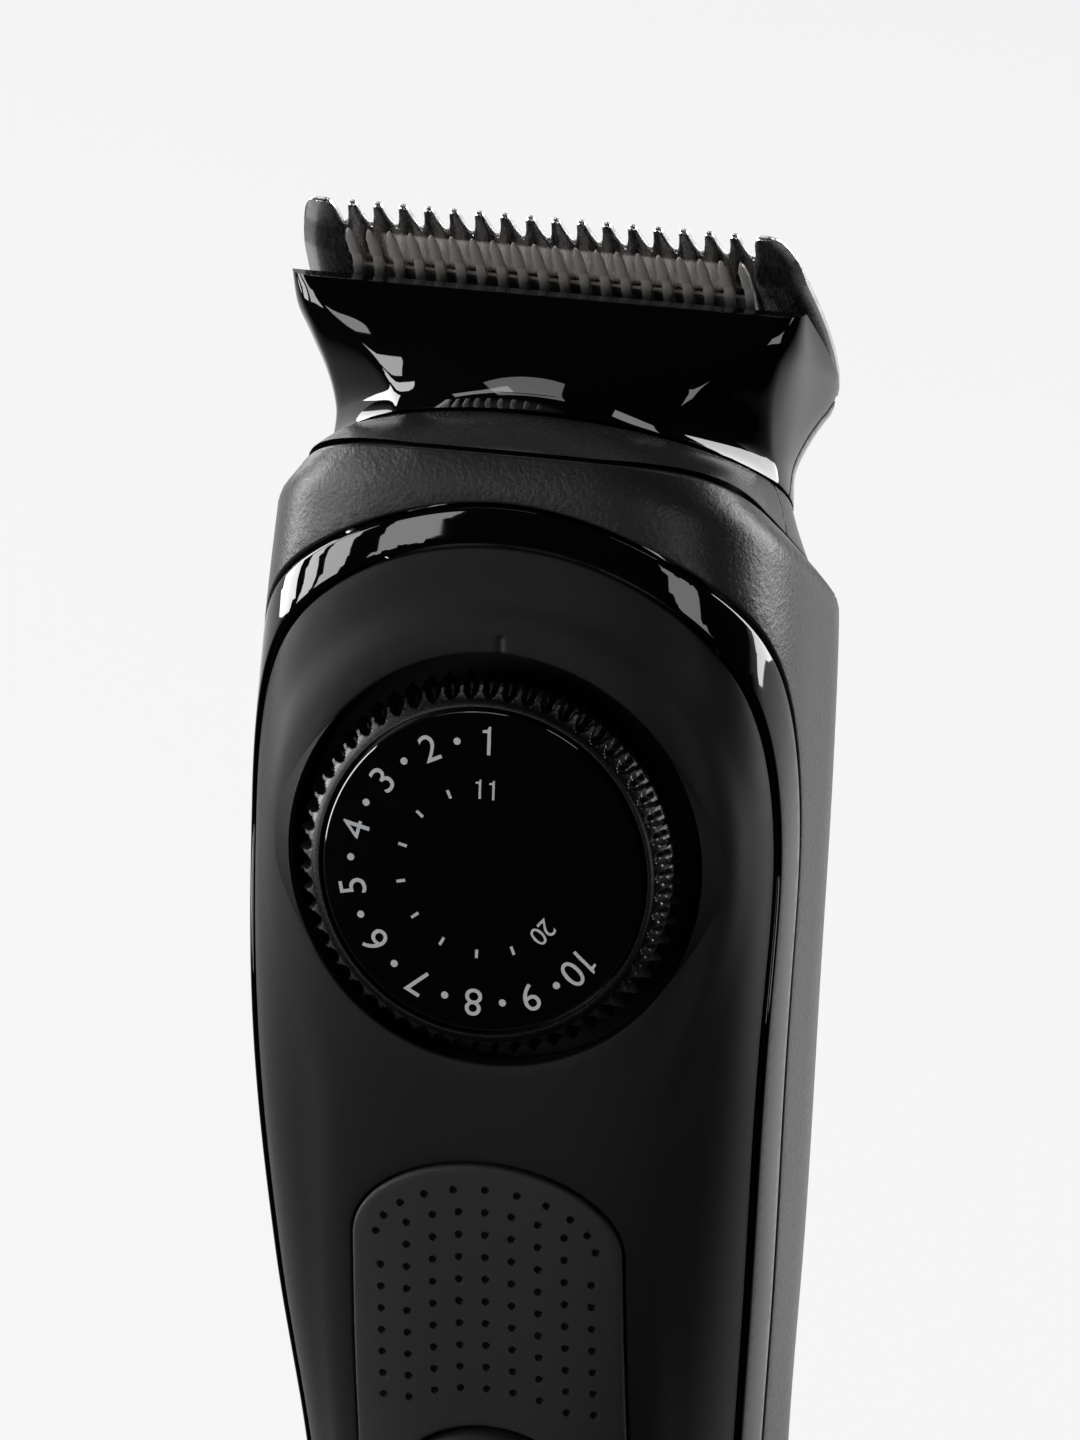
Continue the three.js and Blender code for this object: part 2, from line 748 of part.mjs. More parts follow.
function makeBase() {
  const outer = loft([bodyRing(0, baseEdge), bodyRing(baseEdge, 0), bodyRing(baseHeight, 0)]);
  const lip = bodyLoft(baseFloor, baseHeight + baseLipHeight, wall + seamGap, lipLevels);
  const hollow = bodyLoft(baseFloor, baseHeight + baseLipHeight + seamGap, wall + seamGap + baseLipWall, lipLevels);
  const opening = block(
    [-socketWidth / 2 - seamGap, socketY - socketDepth / 2 - seamGap, -overrun],
    [socketWidth / 2 + seamGap, socketY + socketDepth / 2 + seamGap, overrun],
  );
  addPiece("base_cap", without(joined(outer, lip), hollow, opening), looks.matte());
}

function roundedMouth() {
  const half = socketMouthDepth / 2;
  const straight = socketMouthWidth / 2 - half;
  const outline = [];
  for (let step = 0; step <= 2 * smallSteps; step += 1) {
    const angle = (Math.PI * step) / smallSteps;
    const side = step < smallSteps / 2 || step > (3 * smallSteps) / 2 ? 1 : -1;
    if (step < 2 * smallSteps) outline.push([side * straight + half * Math.cos(angle), socketY + half * Math.sin(angle)]);
  }
  return outline;
}

function makeSocket() {
  const body = block(
    [-socketWidth / 2, socketY - socketDepth / 2, socketInset],
    [socketWidth / 2, socketY + socketDepth / 2, socketHeight],
  );
  const bore = prism("top", roundedMouth(), -overrun, socketBore);
  const holes = [-1, 1].map((side) => {
    const x = (side * chargePinSpacing) / 2;
    return rod(chargePinRadius + seamGap / 2, [x, socketY, 0], [x, socketY, overrun]);
  });
  addPiece("charge_socket", without(body, bore, ...holes), looks.inner());
  for (const side of [-1, 1]) {
    const x = (side * chargePinSpacing) / 2;
    const pin = rod(chargePinRadius, [x, socketY, chargePinTip], [x, socketY, chargePinTop]);
    addPiece(side < 0 ? "charge_pin_left" : "charge_pin_right", pin, looks.brass());
  }
}

const collarRing = (inset, plane) => bodyRing(shoulderHeight(0), inset, plane);

function headRing(rib, inset, lift = 0) {
  const front = new THREE.Vector3(0, rib.front[0], rib.front[1] + lift);
  const back = new THREE.Vector3(0, rib.back[0], rib.back[1] + lift);
  const middle = front.clone().add(back).divideScalar(2);
  const along = back.clone().sub(front);
  const half = along.length() / 2 - inset;
  along.normalize();
  return unitRing(roundSteps, () => rib.squareness).map(([across, forward]) =>
    middle
      .clone()
      .addScaledVector(along, forward * half)
      .add(new THREE.Vector3(across * (rib.halfWidth - inset), 0, 0)),
  );
}

function makeCollar() {
  const neck = headRibs[0];
  const outer = loft([collarRing(0, (y) => shoulderHeight(y)), headRing(neck, 0, -seamGap)]);
  const lipLow = collarRing(wall + seamGap, (y) => shoulderHeight(y, -collarLipDepth));
  const lipHigh = collarRing(wall + seamGap, (y) => shoulderHeight(y, seamGap));
  const openLow = collarRing(wall + seamGap + baseLipWall, (y) => shoulderHeight(y, -collarLipDepth - seamGap));
  const openMiddle = collarRing(wall + seamGap + baseLipWall, (y) => shoulderHeight(y, seamGap));
  const openHigh = headRing(neck, spigotInset - seamGap, seamGap);
  const collar = without(joined(outer, loft([lipLow, lipHigh])), loft([openLow, openMiddle, openHigh]));
  const frontHalf = block([-overrun, -overrun, 0], [overrun, collarSplitY - seamGap / 2, 2 * bodySpan]);
  const rearHalf = block([-overrun, collarSplitY + seamGap / 2, 0], [overrun, overrun, 2 * bodySpan]);
  addPiece("collar_front", common(collar, frontHalf), looks.matte());
  addPiece("collar_rear", common(collar, rearHalf), looks.matte());
}

// Dial assembly
function toothedRing() {
  const steps = 2 * ringTeeth;
  const level = (y, crest, valley) => {
    const ring = [];
    for (let step = 0; step < steps; step += 1) {
      const angle = (-2 * Math.PI * step) / steps;
      const radius = step % 2 ? valley : crest;
      ring.push(new THREE.Vector3(radius * Math.cos(angle), y, radius * Math.sin(angle)));
    }
    return ring;
  };
  return loft([
    level(-ringCrown, ringRimOuter, ringRimOuter - ringToothDepth / 2),
    level(-ringSkirt, ringRadius, ringRadius - ringToothDepth),
    level(ringSkirt, ringRadius, ringRadius),
    level(ringBottom, ringRadius, ringRadius),
  ]);
}

const camFront = wellDepth + wellFloor + camGap;
const camBack = camFront + camThickness;

function makeDialRing() {
  const recess = rod(ringRimInner, [0, -overrun, 0], [0, -faceSeat, 0], roundSteps);
  const hub = rod(hubRadius, [0, ringSkirt, 0], [0, camFront - seamGap, 0], fineSteps);
  const bore = rod(dialScrewShank + seamGap / 2, [0, camFront - dialScrewLength + camThickness, 0], [0, overrun, 0]);
  addPiece("dial_ring", without(joined(toothedRing(), hub), recess, bore), looks.matte(), dialFrame);
}

function makeDialFace() {
  const face = rod(faceRadius, [0, -faceSeat - seamGap, 0], [0, -faceProud, 0], roundSteps);
  addPiece("dial_face", face, looks.gloss(), dialFrame);
}

// The cam groove winds outwards as the dial is turned on, so its follower, above the axle, rises
function spiralOutline(halfWidth) {
  const turn = numberPitch * numberSteps;
  const start = -grooveWidth / (2 * followerStart);
  const end = turn + grooveWidth / (2 * followerStart);
  const steps = 2 * fineSteps;
  const at = (step, offset) => {
    const angle = start + ((end - start) * step) / steps;
    const radius = followerStart + (combTravel * angle) / turn + offset;
    return [-radius * Math.sin(angle), radius * Math.cos(angle)];
  };
  const outline = [];
  for (let step = 0; step <= steps; step += 1) outline.push(at(step, -halfWidth));
  for (let step = steps; step >= 0; step -= 1) outline.push(at(step, halfWidth));
  return outline;
}

function makeDialCam() {
  const disc = rod(camRadius, [0, camFront, 0], [0, camBack, 0], roundSteps);
  const groove = prism("front", spiralOutline(grooveWidth / 2), -camBack - overrun, -camFront - grooveFloor);
  const screwHole = rod(dialScrewShank + seamGap / 2, [0, 0, 0], [0, overrun, 0]);
  const headHole = rod(dialScrewHead + seamGap, [0, camBack - dialScrewHeadDepth - seamGap, 0], [0, overrun, 0]);
  const notches = [];
  for (let number = 0; number <= numberSteps; number += 1) {
    const angle = numberPitch * number;
    const x = camRadius * Math.sin(angle);
    const z = -camRadius * Math.cos(angle);
    notches.push(rod(notchRadius, [x, 0, z], [x, overrun, z], smallSteps / 2));
  }
  addPiece("dial_cam", without(disc, groove, screwHole, headHole, ...notches), looks.cream(), dialFrame);
  const head = rod(dialScrewHead, [0, camBack - dialScrewHeadDepth, 0], [0, camBack, 0]);
  const shank = rod(dialScrewShank, [0, camBack - dialScrewLength, 0], [0, camBack - dialScrewHeadDepth / 2, 0]);
  addPiece("dial_screw", joined(head, shank), looks.zinc(), dialFrame);
}

function makeDetentSpring() {
  const low = -camRadius - detentNose - detentThickness;
  const half = detentHalfLength - detentPostRadius - seamGap;
  const outline = [
    [-half, low - detentThickness],
    [half, low - detentThickness],
    [half, low],
    [notchRadius, low],
    [0, low + detentThickness],
    [-notchRadius, low],
    [-half, low],
  ];
  const strip = prism("front", outline, -camBack, -camFront);
  addPiece("detent_spring", strip, looks.steel(), dialFrame);
}

function makeCarriage() {
  const centre = carriageFront + carriageHalfDepth;
  const outlineOf = (inset) =>
    unitRing(roundSteps, () => carriageSquareness).map(([across, along]) => [
      across * (carriageHalfWidth - inset),
      centre + along * (carriageHalfDepth - inset),
    ]);
  const back = carriageFront + 2 * carriageHalfDepth;
  const inside = prism("top", outlineOf(carriageWall), -overrun, overrun);
  const tab = block([-tabHalfWidth, carriageFront, carriageLow], [tabHalfWidth, carriageFront + carriageWall, tabTop]);
  const tail = block([-tabHalfWidth, back - carriageWall, hookLow - slotSpare], [tabHalfWidth, back, carriageHigh]);
  const ring = without(prism("top", outlineOf(0), carriageLow, carriageHigh), inside);
  const follower = rod(
    followerRadius,
    [0, camBack - followerReach, followerStart],
    [0, carriageFront + carriageWall / 2, followerStart],
  );
  const arm = block([-hookHalfWidth, back - carriageWall, hookLow], [hookHalfWidth, back + hookReach, hookHigh]);
  const lip = block(
    [-hookLipHalfWidth, back + hookReach - hookLipDepth, hookLow],
    [hookLipHalfWidth, back + hookReach, hookHigh + hookLipRise],
  );
  addPiece("comb_carriage", joined(ring, tab, tail, follower, arm, lip), looks.inner(), dialFrame);
}

// Drive
function flatCan(bottom, top, radius, halfDepth) {
  const can = rod(radius, [0, motorY, bottom], [0, motorY, top], fineSteps);
  return common(can, block([-overrun, motorY - halfDepth, bottom], [overrun, motorY + halfDepth, top]));
}

function makeMotor() {
  const canBottom = motorBottom + endBellHeight;
  const can = joined(
    flatCan(canBottom + seamGap, motorTop, motorRadius, motorHalfDepth),
    rod(motorBossRadius, [0, motorY, motorTop - seamGap], [0, motorY, motorTop + motorBossHeight]),
  );
  const hole = rod(shaftRadius + shaftClearance, [0, motorY, canBottom + endBellHeight], [0, motorY, motorTop + overrun]);
  const screwHoles = [-1, 1].map((side) =>
    rod(
      motorScrewShank + seamGap / 2,
      [side * motorScrewX, motorY, motorTop - motorScrewLength],
      [side * motorScrewX, motorY, motorTop + overrun],
    ),
  );
  addPiece("motor_can", without(can, hole, ...screwHoles), looks.zinc());
  addPiece("motor_end_bell", flatCan(motorBottom, canBottom, motorRadius, motorHalfDepth), looks.inner());
  const shaftBottom = canBottom + endBellHeight + seamGap;
  addPiece("motor_shaft", rod(shaftRadius, [0, motorY, shaftBottom], [0, motorY, shaftTop]), looks.steel());
  const disc = rod(eccentricRadius, [0, motorY, eccentricBottom], [0, motorY, eccentricTop], fineSteps);
  const pin = rod(
    drivePinRadius,
    [throwRadius, motorY, eccentricTop - seamGap],
    [throwRadius, motorY, drivePinTop],
  );
  const socket = rod(shaftRadius + seamGap / 2, [0, motorY, 0], [0, motorY, shaftTop + seamGap / 2]);
  addPiece("eccentric_cam", without(joined(disc, pin), socket), looks.cream());
}

const shelfHeights = [railBottom, batteryBottom + batteryLength + batteryNubHeight + shelfThickness, motorTop + seamGap];

function makeChassis() {
  const rails = [-1, 1].map((side) => {
    const [low, high] = spanOn(side, railInner, railOuter);
    return block([low, -railHalfDepth, railBottom], [high, railHalfDepth, motorTop + seamGap + shelfThickness]);
  });
  const shelves = shelfHeights.map((height) =>
    block([-railOuter, -railHalfDepth, height], [railOuter, railHalfDepth, height + shelfThickness]),
  );
  const tabs = [];
  for (const height of bossHeights) {
    for (const side of [-1, 1]) {
      const [low, high] = spanOn(side, bossX - bossRadius, tabPlateOuter);
      const half = tabPlateHeight / 2;
      const plate = block([low, tabPlateY, height - half], [high, tabPlateY + tabPlateThickness, height + half]);
      const [webLow, webHigh] = spanOn(side, tabPlateOuter - railOuter + railInner, tabPlateOuter);
      const web = block([webLow, 0, height - half], [webHigh, tabPlateY + tabPlateThickness, height + half]);
      const hole = rod(caseScrewShank + seamGap / 2, [side * bossX, 0, height], [side * bossX, overrun, height]);
      tabs.push(without(joined(plate, web), hole));
    }
  }
  const bossHole = rod(motorBossRadius + seamGap, [0, motorY, motorTop], [0, motorY, motorTop + overrun], fineSteps);
  const screwHoles = [-1, 1].map((side) =>
    rod(
      motorScrewShank + seamGap / 2,
      [side * motorScrewX, motorY, motorTop],
      [side * motorScrewX, motorY, motorTop + overrun],
    ),
  );
  addPiece("chassis", without(joined(...rails, ...shelves, ...tabs), bossHole, ...screwHoles), looks.inner());
}

function makeScrews() {
  let number = 1;
  for (const height of bossHeights) {
    for (const side of [-1, 1]) {
      const x = side * bossX;
      const headBack = tabPlateY - seamGap / 2;
      const head = rod(caseScrewHead, [x, headBack - caseScrewHeadDepth, height], [x, headBack, height], screwSteps);
      const shank = rod(caseScrewShank, [x, headBack - seamGap, height], [x, headBack + caseScrewLength, height]);
      addPiece(`case_screw_${number}`, joined(head, shank), looks.zinc());
      number += 1;
    }
  }
  for (const side of [-1, 1]) {
    const x = side * motorScrewX;
    const seat = motorTop + seamGap + shelfThickness + seamGap / 2;
    const head = rod(motorScrewHead, [x, motorY, seat], [x, motorY, seat + motorScrewHead / 2]);
    const shank = rod(motorScrewShank, [x, motorY, seat - motorScrewLength], [x, motorY, seat + seamGap]);
    addPiece(side < 0 ? "motor_screw_left" : "motor_screw_right", joined(head, shank), looks.zinc());
  }
}

function makePower() {
  const top = batteryBottom + batteryLength;
  const cell = joined(
    rod(batteryRadius, [0, batteryY, batteryBottom], [0, batteryY, top], fineSteps),
    rod(batteryNubRadius, [0, batteryY, top - seamGap], [0, batteryY, top + batteryNubHeight]),
  );
  addPiece("battery_cell", cell, looks.battery());
  const half = tabStripWidth / 2;
  const boardBack = boardY + boardThickness;
  const tops = [
    ["battery_tab_top", top + batteryNubHeight + seamGap],
    ["battery_tab_bottom", batteryBottom - seamGap - tabStripThickness],
  ];
  for (const [name, z] of tops) {
    const rise = z > boardBottom ? -1 : 1;
    const strip = block([-half, boardBack + seamGap, z], [half, batteryY + half, z + tabStripThickness]);
    const foot = block(
      [-half, boardBack + seamGap, Math.min(z, z + rise * 3 * half)],
      [half, boardBack + seamGap + tabStripThickness, Math.max(z + tabStripThickness, z + rise * 3 * half)],
    );
    addPiece(name, joined(strip, foot), looks.nickel());
  }
  const board = block([-boardHalfWidth, boardFront, boardBottom], [boardHalfWidth, boardBack, boardTop]);
  addPiece("circuit_board", board, looks.board());
  const switchHalf = switchSize / 2;
  const body = block(
    [-switchHalf, boardFront - switchBody, buttonZ - switchHalf],
    [switchHalf, boardFront, buttonZ + switchHalf],
  );
  const plunger = rod(
    switchPlungerRadius,
    [0, boardFront - switchBody - switchPlungerHeight, buttonZ],
    [0, boardFront - switchBody / 2, buttonZ],
  );
  addPiece("power_switch", joined(body, plunger), looks.nickel());
}

// Blade set
function combOutline({ count, pitch, tipZ: tip, rootZ, rootWidth, tipWidth }) {
  const points = [];
  for (let tooth = 0; tooth < count; tooth += 1) {
    const x = (tooth - (count - 1) / 2) * pitch;
    points.push([x - rootWidth / 2, rootZ], [x - tipWidth / 2, tip], [x + tipWidth / 2, tip], [x + rootWidth / 2, rootZ]);
  }
  return points;
}

function makeFixedBlade() {
  const teeth = combOutline({
    count: toothCount,
    pitch: toothPitch,
    tipZ: -toothTipDrop,
    rootZ: -toothLength,
    rootWidth: toothRootWidth,
    tipWidth: toothTipWidth,
  });
  const corner = bladeHalfWidth - guardTip;
  const outline = [
    [-bladeHalfWidth, -bladeLength + corner],
    [-bladeHalfWidth, -toothLength / 2],
    [-guardTip, 0],
    [-guardInner - corner / 2, 0],
    [-guardInner, -toothLength],
    ...teeth,
    [guardInner, -toothLength],
    [guardInner + corner / 2, 0],
    [guardTip, 0],
    [bladeHalfWidth, -toothLength / 2],
    [bladeHalfWidth, -bladeLength + corner],
    [bladeHalfWidth - corner, -bladeLength],
    [-bladeHalfWidth + corner, -bladeLength],
  ];
  const plate = prism("front", outline, 0, bladeThickness);
  const holes = [-1, 1].map((side) =>
    rod(
      bladeScrewShank + seamGap / 2,
      [side * bladeScrewX, -overrun, bladeScrewZ],
      [side * bladeScrewX, overrun, bladeScrewZ],
    ),
  );
  addPiece("fixed_blade", without(plate, ...holes), looks.steel(), bladeFrame);
}

const moverFront = -bladeThickness - moverGap - moverThickness;
const moverEdge = ((moverCount - 1) * moverPitch) / 2 + moverToothRoot / 2;

function makeMovingBlade() {
  const teeth = combOutline({
    count: moverCount,
    pitch: moverPitch,
    tipZ: -moverDrop,
    rootZ: -moverDrop - moverToothLength,
    rootWidth: moverToothRoot,
    tipWidth: moverToothTip,
  });
  const outline = [[-moverEdge, -moverDrop - moverLength], ...teeth, [moverEdge, -moverDrop - moverLength]];
  const blade = prism("front", outline, bladeThickness + moverGap, bladeThickness + moverGap + moverThickness);
  addPiece("moving_blade", blade, looks.steel(), bladeFrame);
}

const carrierBack = moverFront - moverGap;
const carrierFront = carrierBack - carrierThickness;

function makeCarrier() {
  const back = carrierBack;
  const bar = placed(
    block([-carrierHalfWidth, carrierFront, carrierLow], [carrierHalfWidth, back, carrierHigh]),
    bladeFrame,
  );
  const prongs = [-1, 1].map((side) => {
    const [low, high] = spanOn(side, prongInner, prongOuter);
    return block([low, prongFrontY, prongBottomZ], [high, prongBackY, tipZ]);
  });
  const limit = placed(block([-overrun, -overrun, -overrun], [overrun, back, carrierLow + prongBite]), bladeFrame);
  addPiece("blade_carrier", joined(bar, ...prongs.map((prong) => common(prong, limit))), looks.inner());
  const springFront = carrierFront - moverGap;
  const reach = moverSlotHalfWidth - seamGap - 2 * bladeSpringThickness;
  const half = bladeSpringHeight / 2;
  const bend = carrierHalfWidth + 2 * moverSwing;
  const outline = [
    [-reach, back - bladeSpringThickness],
    [-bend, springFront - bladeSpringThickness],
    [bend, springFront - bladeSpringThickness],
    [reach, back - bladeSpringThickness],
    [reach, back],
    [bend, springFront],
    [-bend, springFront],
    [-reach, back],
  ];
  const strip = prism("top", outline, bladeSpringZ - half, bladeSpringZ + half);
  addPiece("blade_spring", strip, looks.steel(), bladeFrame);
}

function headLoft(inset) {
  return loft(headRibs.map((rib) => headRing(rib, inset)));
}

function headCavity(inset) {
  const rings = headRibs.slice(0, -1).map((rib) => headRing(rib, inset));
  return loft([headRing(headRibs[0], inset, -2 * wall), ...rings]);
}

function makeHousings() {
  const outer = headLoft(0);
  const slot = placed(
    block([-moverSlotHalfWidth, moverFront - 2 * seamGap, bridgeHigh], [moverSlotHalfWidth, overrun, overrun]),
    bladeFrame,
  );
  const aboveBlade = placed(
    block([-overrun, -bladeThickness - seamGap, -2 * overrun], [overrun, overrun, overrun]),
    bladeFrame,
  );
  const bridge = placed(
    block(
      [-neckHalfWidth, -bladeThickness - seamGap - bridgeDepth, bridgeLow],
      [neckHalfWidth, -bladeThickness - seamGap, bridgeHigh],
    ),
    bladeFrame,
  );
  const partSlope = (partingBack[1] - partingFront[1]) / (partingBack[0] - partingFront[0]);
  const partingAt = (gap) => (y) => partingFront[1] + partSlope * (y - partingFront[0]) + gap;
  const screwHoles = [-1, 1].map((side) =>
    placed(
      rod(
        bladeScrewShank + seamGap / 2,
        [side * bladeScrewX, -bladeThickness - 2 * bladeScrewLength, bladeScrewZ],
        [side * bladeScrewX, overrun, bladeScrewZ],
      ),
      bladeFrame,
    ),
  );
  const pocket = placed(
    block([-moverSlotHalfWidth, carrierFront - 2 * pocketSpare, carrierLow - pocketSpare], [moverSlotHalfWidth, 0, pocketTop]),
    bladeFrame,
  );
  const frontShell = joined(without(outer, headCavity(frontHousingWall)), common(bridge, outer));
  const frontHousing = without(
    frontShell,
    slot,
    pocket,
    aboveBlade,
    belowPlane(partingAt(seamGap)),
    ...screwHoles,
  );
  addPiece("head_front_housing", frontHousing, looks.gloss());
  const rearShell = common(without(outer, headCavity(rearHousingWall)), belowPlane(partingAt(0)));
  const neck = headRibs[0];
  const spigotPlug = joined(
    loft([headRing(neck, spigotInset, -spigotBelow), headRing(neck, spigotInset, -seamGap)]),
    common(
      loft([headRing(neck, spigotInset, -spigotBelow), headRing(neck, spigotInset, spigotAbove)]),
      belowPlane(partingAt(0)),
    ),
  );
  const spigotHole = loft([
    headRing(neck, spigotInset + spigotWall, -spigotBelow - seamGap),
    headRing(neck, spigotInset + spigotWall, spigotAbove + seamGap),
  ]);
  const spigot = without(spigotPlug, spigotHole);
  addPiece("head_rear_housing", without(joined(rearShell, spigot), aboveBlade), looks.gloss());
  for (const side of [-1, 1]) {
    const x = side * bladeScrewX;
    const seat = seamGap / 2;
    const head = rod(bladeScrewHead, [x, seat, bladeScrewZ], [x, seat + bladeScrewHeadHeight, bladeScrewZ]);
    const shank = rod(
      bladeScrewShank,
      [x, seat - bladeScrewLength, bladeScrewZ],
      [x, seat + bladeScrewHeadHeight / 2, bladeScrewZ],
    );
    addPiece(side < 0 ? "blade_screw_left" : "blade_screw_right", joined(head, shank), looks.zinc(), bladeFrame);
  }
}

makeRearShell();
makeBezel();
makeFrontPanel();
makeGripPad();
makeButton();
makeStatusLight();
makeBase();
makeSocket();
makeCollar();
makeDialRing();
makeDialFace();
makeDialCam();
makeDetentSpring();
makeCarriage();
makeMotor();
makeChassis();
makeScrews();
makePower();
makeFixedBlade();
makeMovingBlade();
makeCarrier();
makeHousings();

// The origin is under the middle of the outline seen from above
const extent = new THREE.Box3().setFromObject(part, true);
part.position.y = -(extent.min.y + extent.max.y) / 2;

const group = new THREE.Group();
group.add(part);

export default group;
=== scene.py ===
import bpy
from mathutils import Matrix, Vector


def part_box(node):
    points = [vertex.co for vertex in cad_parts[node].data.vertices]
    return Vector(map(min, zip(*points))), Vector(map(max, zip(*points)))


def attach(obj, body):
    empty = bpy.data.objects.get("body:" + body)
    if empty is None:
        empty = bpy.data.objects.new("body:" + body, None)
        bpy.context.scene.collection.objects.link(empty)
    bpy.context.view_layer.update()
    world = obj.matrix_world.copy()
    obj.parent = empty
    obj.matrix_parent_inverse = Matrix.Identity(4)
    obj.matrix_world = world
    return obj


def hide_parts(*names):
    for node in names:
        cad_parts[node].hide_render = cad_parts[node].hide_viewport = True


bl_info = {
    "name": "Body Groomer",
    "version": (1, 0, 0),
    "blender": (4, 5, 0),
    "location": "View3D > Sidebar > Groomer",
    "description": "A cordless body groomer with a slanted blade head, a numbered dial and a dimpled grip",
    "category": "Add Mesh",
}

import math

import bpy
import numpy as np
from mathutils import Matrix, Vector
from mathutils.geometry import delaunay_2d_cdt

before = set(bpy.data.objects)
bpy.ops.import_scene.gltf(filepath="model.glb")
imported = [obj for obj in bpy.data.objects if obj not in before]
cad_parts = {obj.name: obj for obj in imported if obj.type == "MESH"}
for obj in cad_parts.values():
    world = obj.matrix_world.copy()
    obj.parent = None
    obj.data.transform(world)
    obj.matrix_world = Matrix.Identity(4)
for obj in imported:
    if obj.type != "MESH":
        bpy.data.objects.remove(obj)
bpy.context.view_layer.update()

# Lengths below are in millimetres until a mesh is made
MM = 0.001
shaft_low, shaft_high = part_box("motor_shaft")
MIDDLE_Y = (shaft_low.y + shaft_high.y) / 2

# Body outline, the same stations as the frame's body
BODY_SPAN = 150
BODY_HALF_WIDTH = 21.05
FRONT_REACH = 22.5
BACK_REACH = 18.4
BACK_SQUARENESS = 2.5
STATION_SHARES = np.array([
    [0, 0.755, 0.667, 0.842, -0.022, 2.8],
    [0.13, 0.77, 0.733, 0.842, -0.022, 2.9],
    [0.27, 0.798, 0.827, 0.826, 0, 3],
    [0.39, 0.843, 0.924, 0.815, 0.036, 3.2],
    [0.51, 0.924, 0.996, 0.815, 0.169, 3.6],
    [0.64, 0.981, 0.987, 0.837, 0.231, 4.4],
    [0.76, 1, 0.893, 0.897, 0.089, 5],
    [0.85, 0.983, 0.818, 0.957, -0.08, 4.6],
    [0.93, 0.945, 0.751, 0.995, -0.098, 3.8],
    [1, 0.912, 0.693, 1, -0.098, 3.4],
])
SEAM = 0.3
SKIN_WALL = 1.9
BASE_HEIGHT = 7
CASE_BOTTOM = BASE_HEIGHT + SEAM

# Tables of the body's skin
LEVEL_STEP = 0.5
ROUND_STEP = 0.1
LEVELS = np.arange(-1, BODY_SPAN + 1.01, LEVEL_STEP)
ROUNDS = np.arange(0, 80, ROUND_STEP)
SECTION_STEPS = 1441
NORMAL_STEP = 0.4

# Flat meshes: rim of rounded edges, spacing of the points inside, and how near they may come to an edge
RIM = 0.22
RIM_SHARES = (0.076, 0.293, 0.617, 1)
RING_KEPT_SHARE = 0.98
LATTICE = 1.1
LATTICE_CLEAR_SHARE = 0.45
LATTICE_EDGE_SHARE = 0.4
EDGE_STEP = 0.6
FINE_EDGE_STEP = 0.5
SAME_POINT = 1e-6

# Slanted top of the body and the neck of the head
SHOULDER_FRONT = (-16, 144.2)
SHOULDER_SLOPE = 0.72
SHOULDER_STEPS = 121
# Search for the shoulder's height: its start, share of each correction, and how often
SHOULDER_START = 135.0
SHOULDER_EASE = 0.6
SHOULDER_PASSES = 40
NECK_FRONT = (-11.2, 145.9)
NECK_BACK = (13.2, 126)
NECK_HALF_WIDTH = 17.7
# How far the shell turns in below its slanted top, at the sides and at the front
TURN_IN_SIDE = 2.1
TURN_IN_FRONT = 0.35
TURN_IN_DEPTH = 2.6
TURN_IN_START_SHARE = 0.12
TURN_IN_RUN_SHARE = 0.28
TURN_IN_ROUND_POWER = 0.8
TURN_IN_RISE_POWER = 1.15
# Slot of the comb's hook in the back, as two corners in the dial's frame
HOOK_SLOT = ((-3.1, 23, -13.6), (3.1, 45, 0.2))

# Collar
COLLAR_SPLIT_Y = -2
COLLAR_SPLIT_GAP = 0.16
COLLAR_ROWS = 10
COLLAR_CROWN = 0.25
COLLAR_WALL = 2
COLLAR_FOOT = 0.2
COLLAR_LIP = 1.2
COLLAR_LIP_WALL = 1.4
COLLAR_BEVEL = 0.22
COLLAR_STEPS = 160
SHELL_BACK_STEPS = 200

# Bezel, drawn on the unrolled skin: an arch over straight limbs down the sides
ARCH_CENTRE = 110
ARCH_EASING = 60
ARCH_STEPS = 121
OUTER_ARCH = {"ahead": 5.7, "top": 140.6, "power": 1.9}
INNER_ARCH = {"ahead": 10.7, "top": 137.4, "power": 2.1}
BEZEL_RIM = 0.3
BEZEL_LATTICE = 0.7

# Raised middle of the panel: a round field about the dial, a band below it, and the pointer groove above it
FIELD_RADIUS = 18.7
FIELD_STEP = 0.42
FIELD_BLEND = 6.0
FIELD_EDGE = 1.6
FIELD_RUN = 2.2
BAND_HALF_WIDTH = 13.2
# What the band counts as above the dial, where there is none
NO_BAND = -50
POINTER = (127.6, 130.4)
POINTER_HALF_WIDTH = 0.24
POINTER_DEPTH = 0.16
POINTER_END = 0.3

# Dial
DIAL_Y = -20.2
DIAL_Z = 113
DIAL_TILT = math.radians(7)
WELL_RADIUS = 16
WELL_DEPTH = 3
WELL_WALL = 1.4
WELL_TOP = 0.4
WELL_LEDGE = 1.6
WELL_CLEAR = 0.05
WELL_STEPS = 73
WELL_PASSES = 12
AXLE_HOLE_RADIUS = 3.8
RING_RADIUS = 14.75
RING_SLOPE_RADIUS = 13.2
RING_RIM_RADIUS = 12.65
RING_RISE = 1.95
RING_TOP = -3.17
RING_RIM_TOP = -3.25
RING_BACK = 2.6
RING_WALL = 1.2
HUB_RADIUS = 3.2
HUB_BACK = 4.6
BORE_RADIUS = 1.05
SCALLOP_STEPS = 12
SCALLOP_LEVELS = 18
SCALLOP_HALF_SHARE = 0.46
SCALLOP_HEIGHT_SHARE = 0.9
SCALLOP_WALL_SHARE = 0.45
SCALLOP_POWER = 0.6
SCALLOP_LEAN_SHARES = (0.75, 0.8)
RIDGE_DEPTH_SHARE = 0.5
RIDGE_HALF_SHARE = 0.09
RIDGE_START_SHARES = (0.4, 0.15)
RIDGE_END_SHARES = (0.95, 0.1)
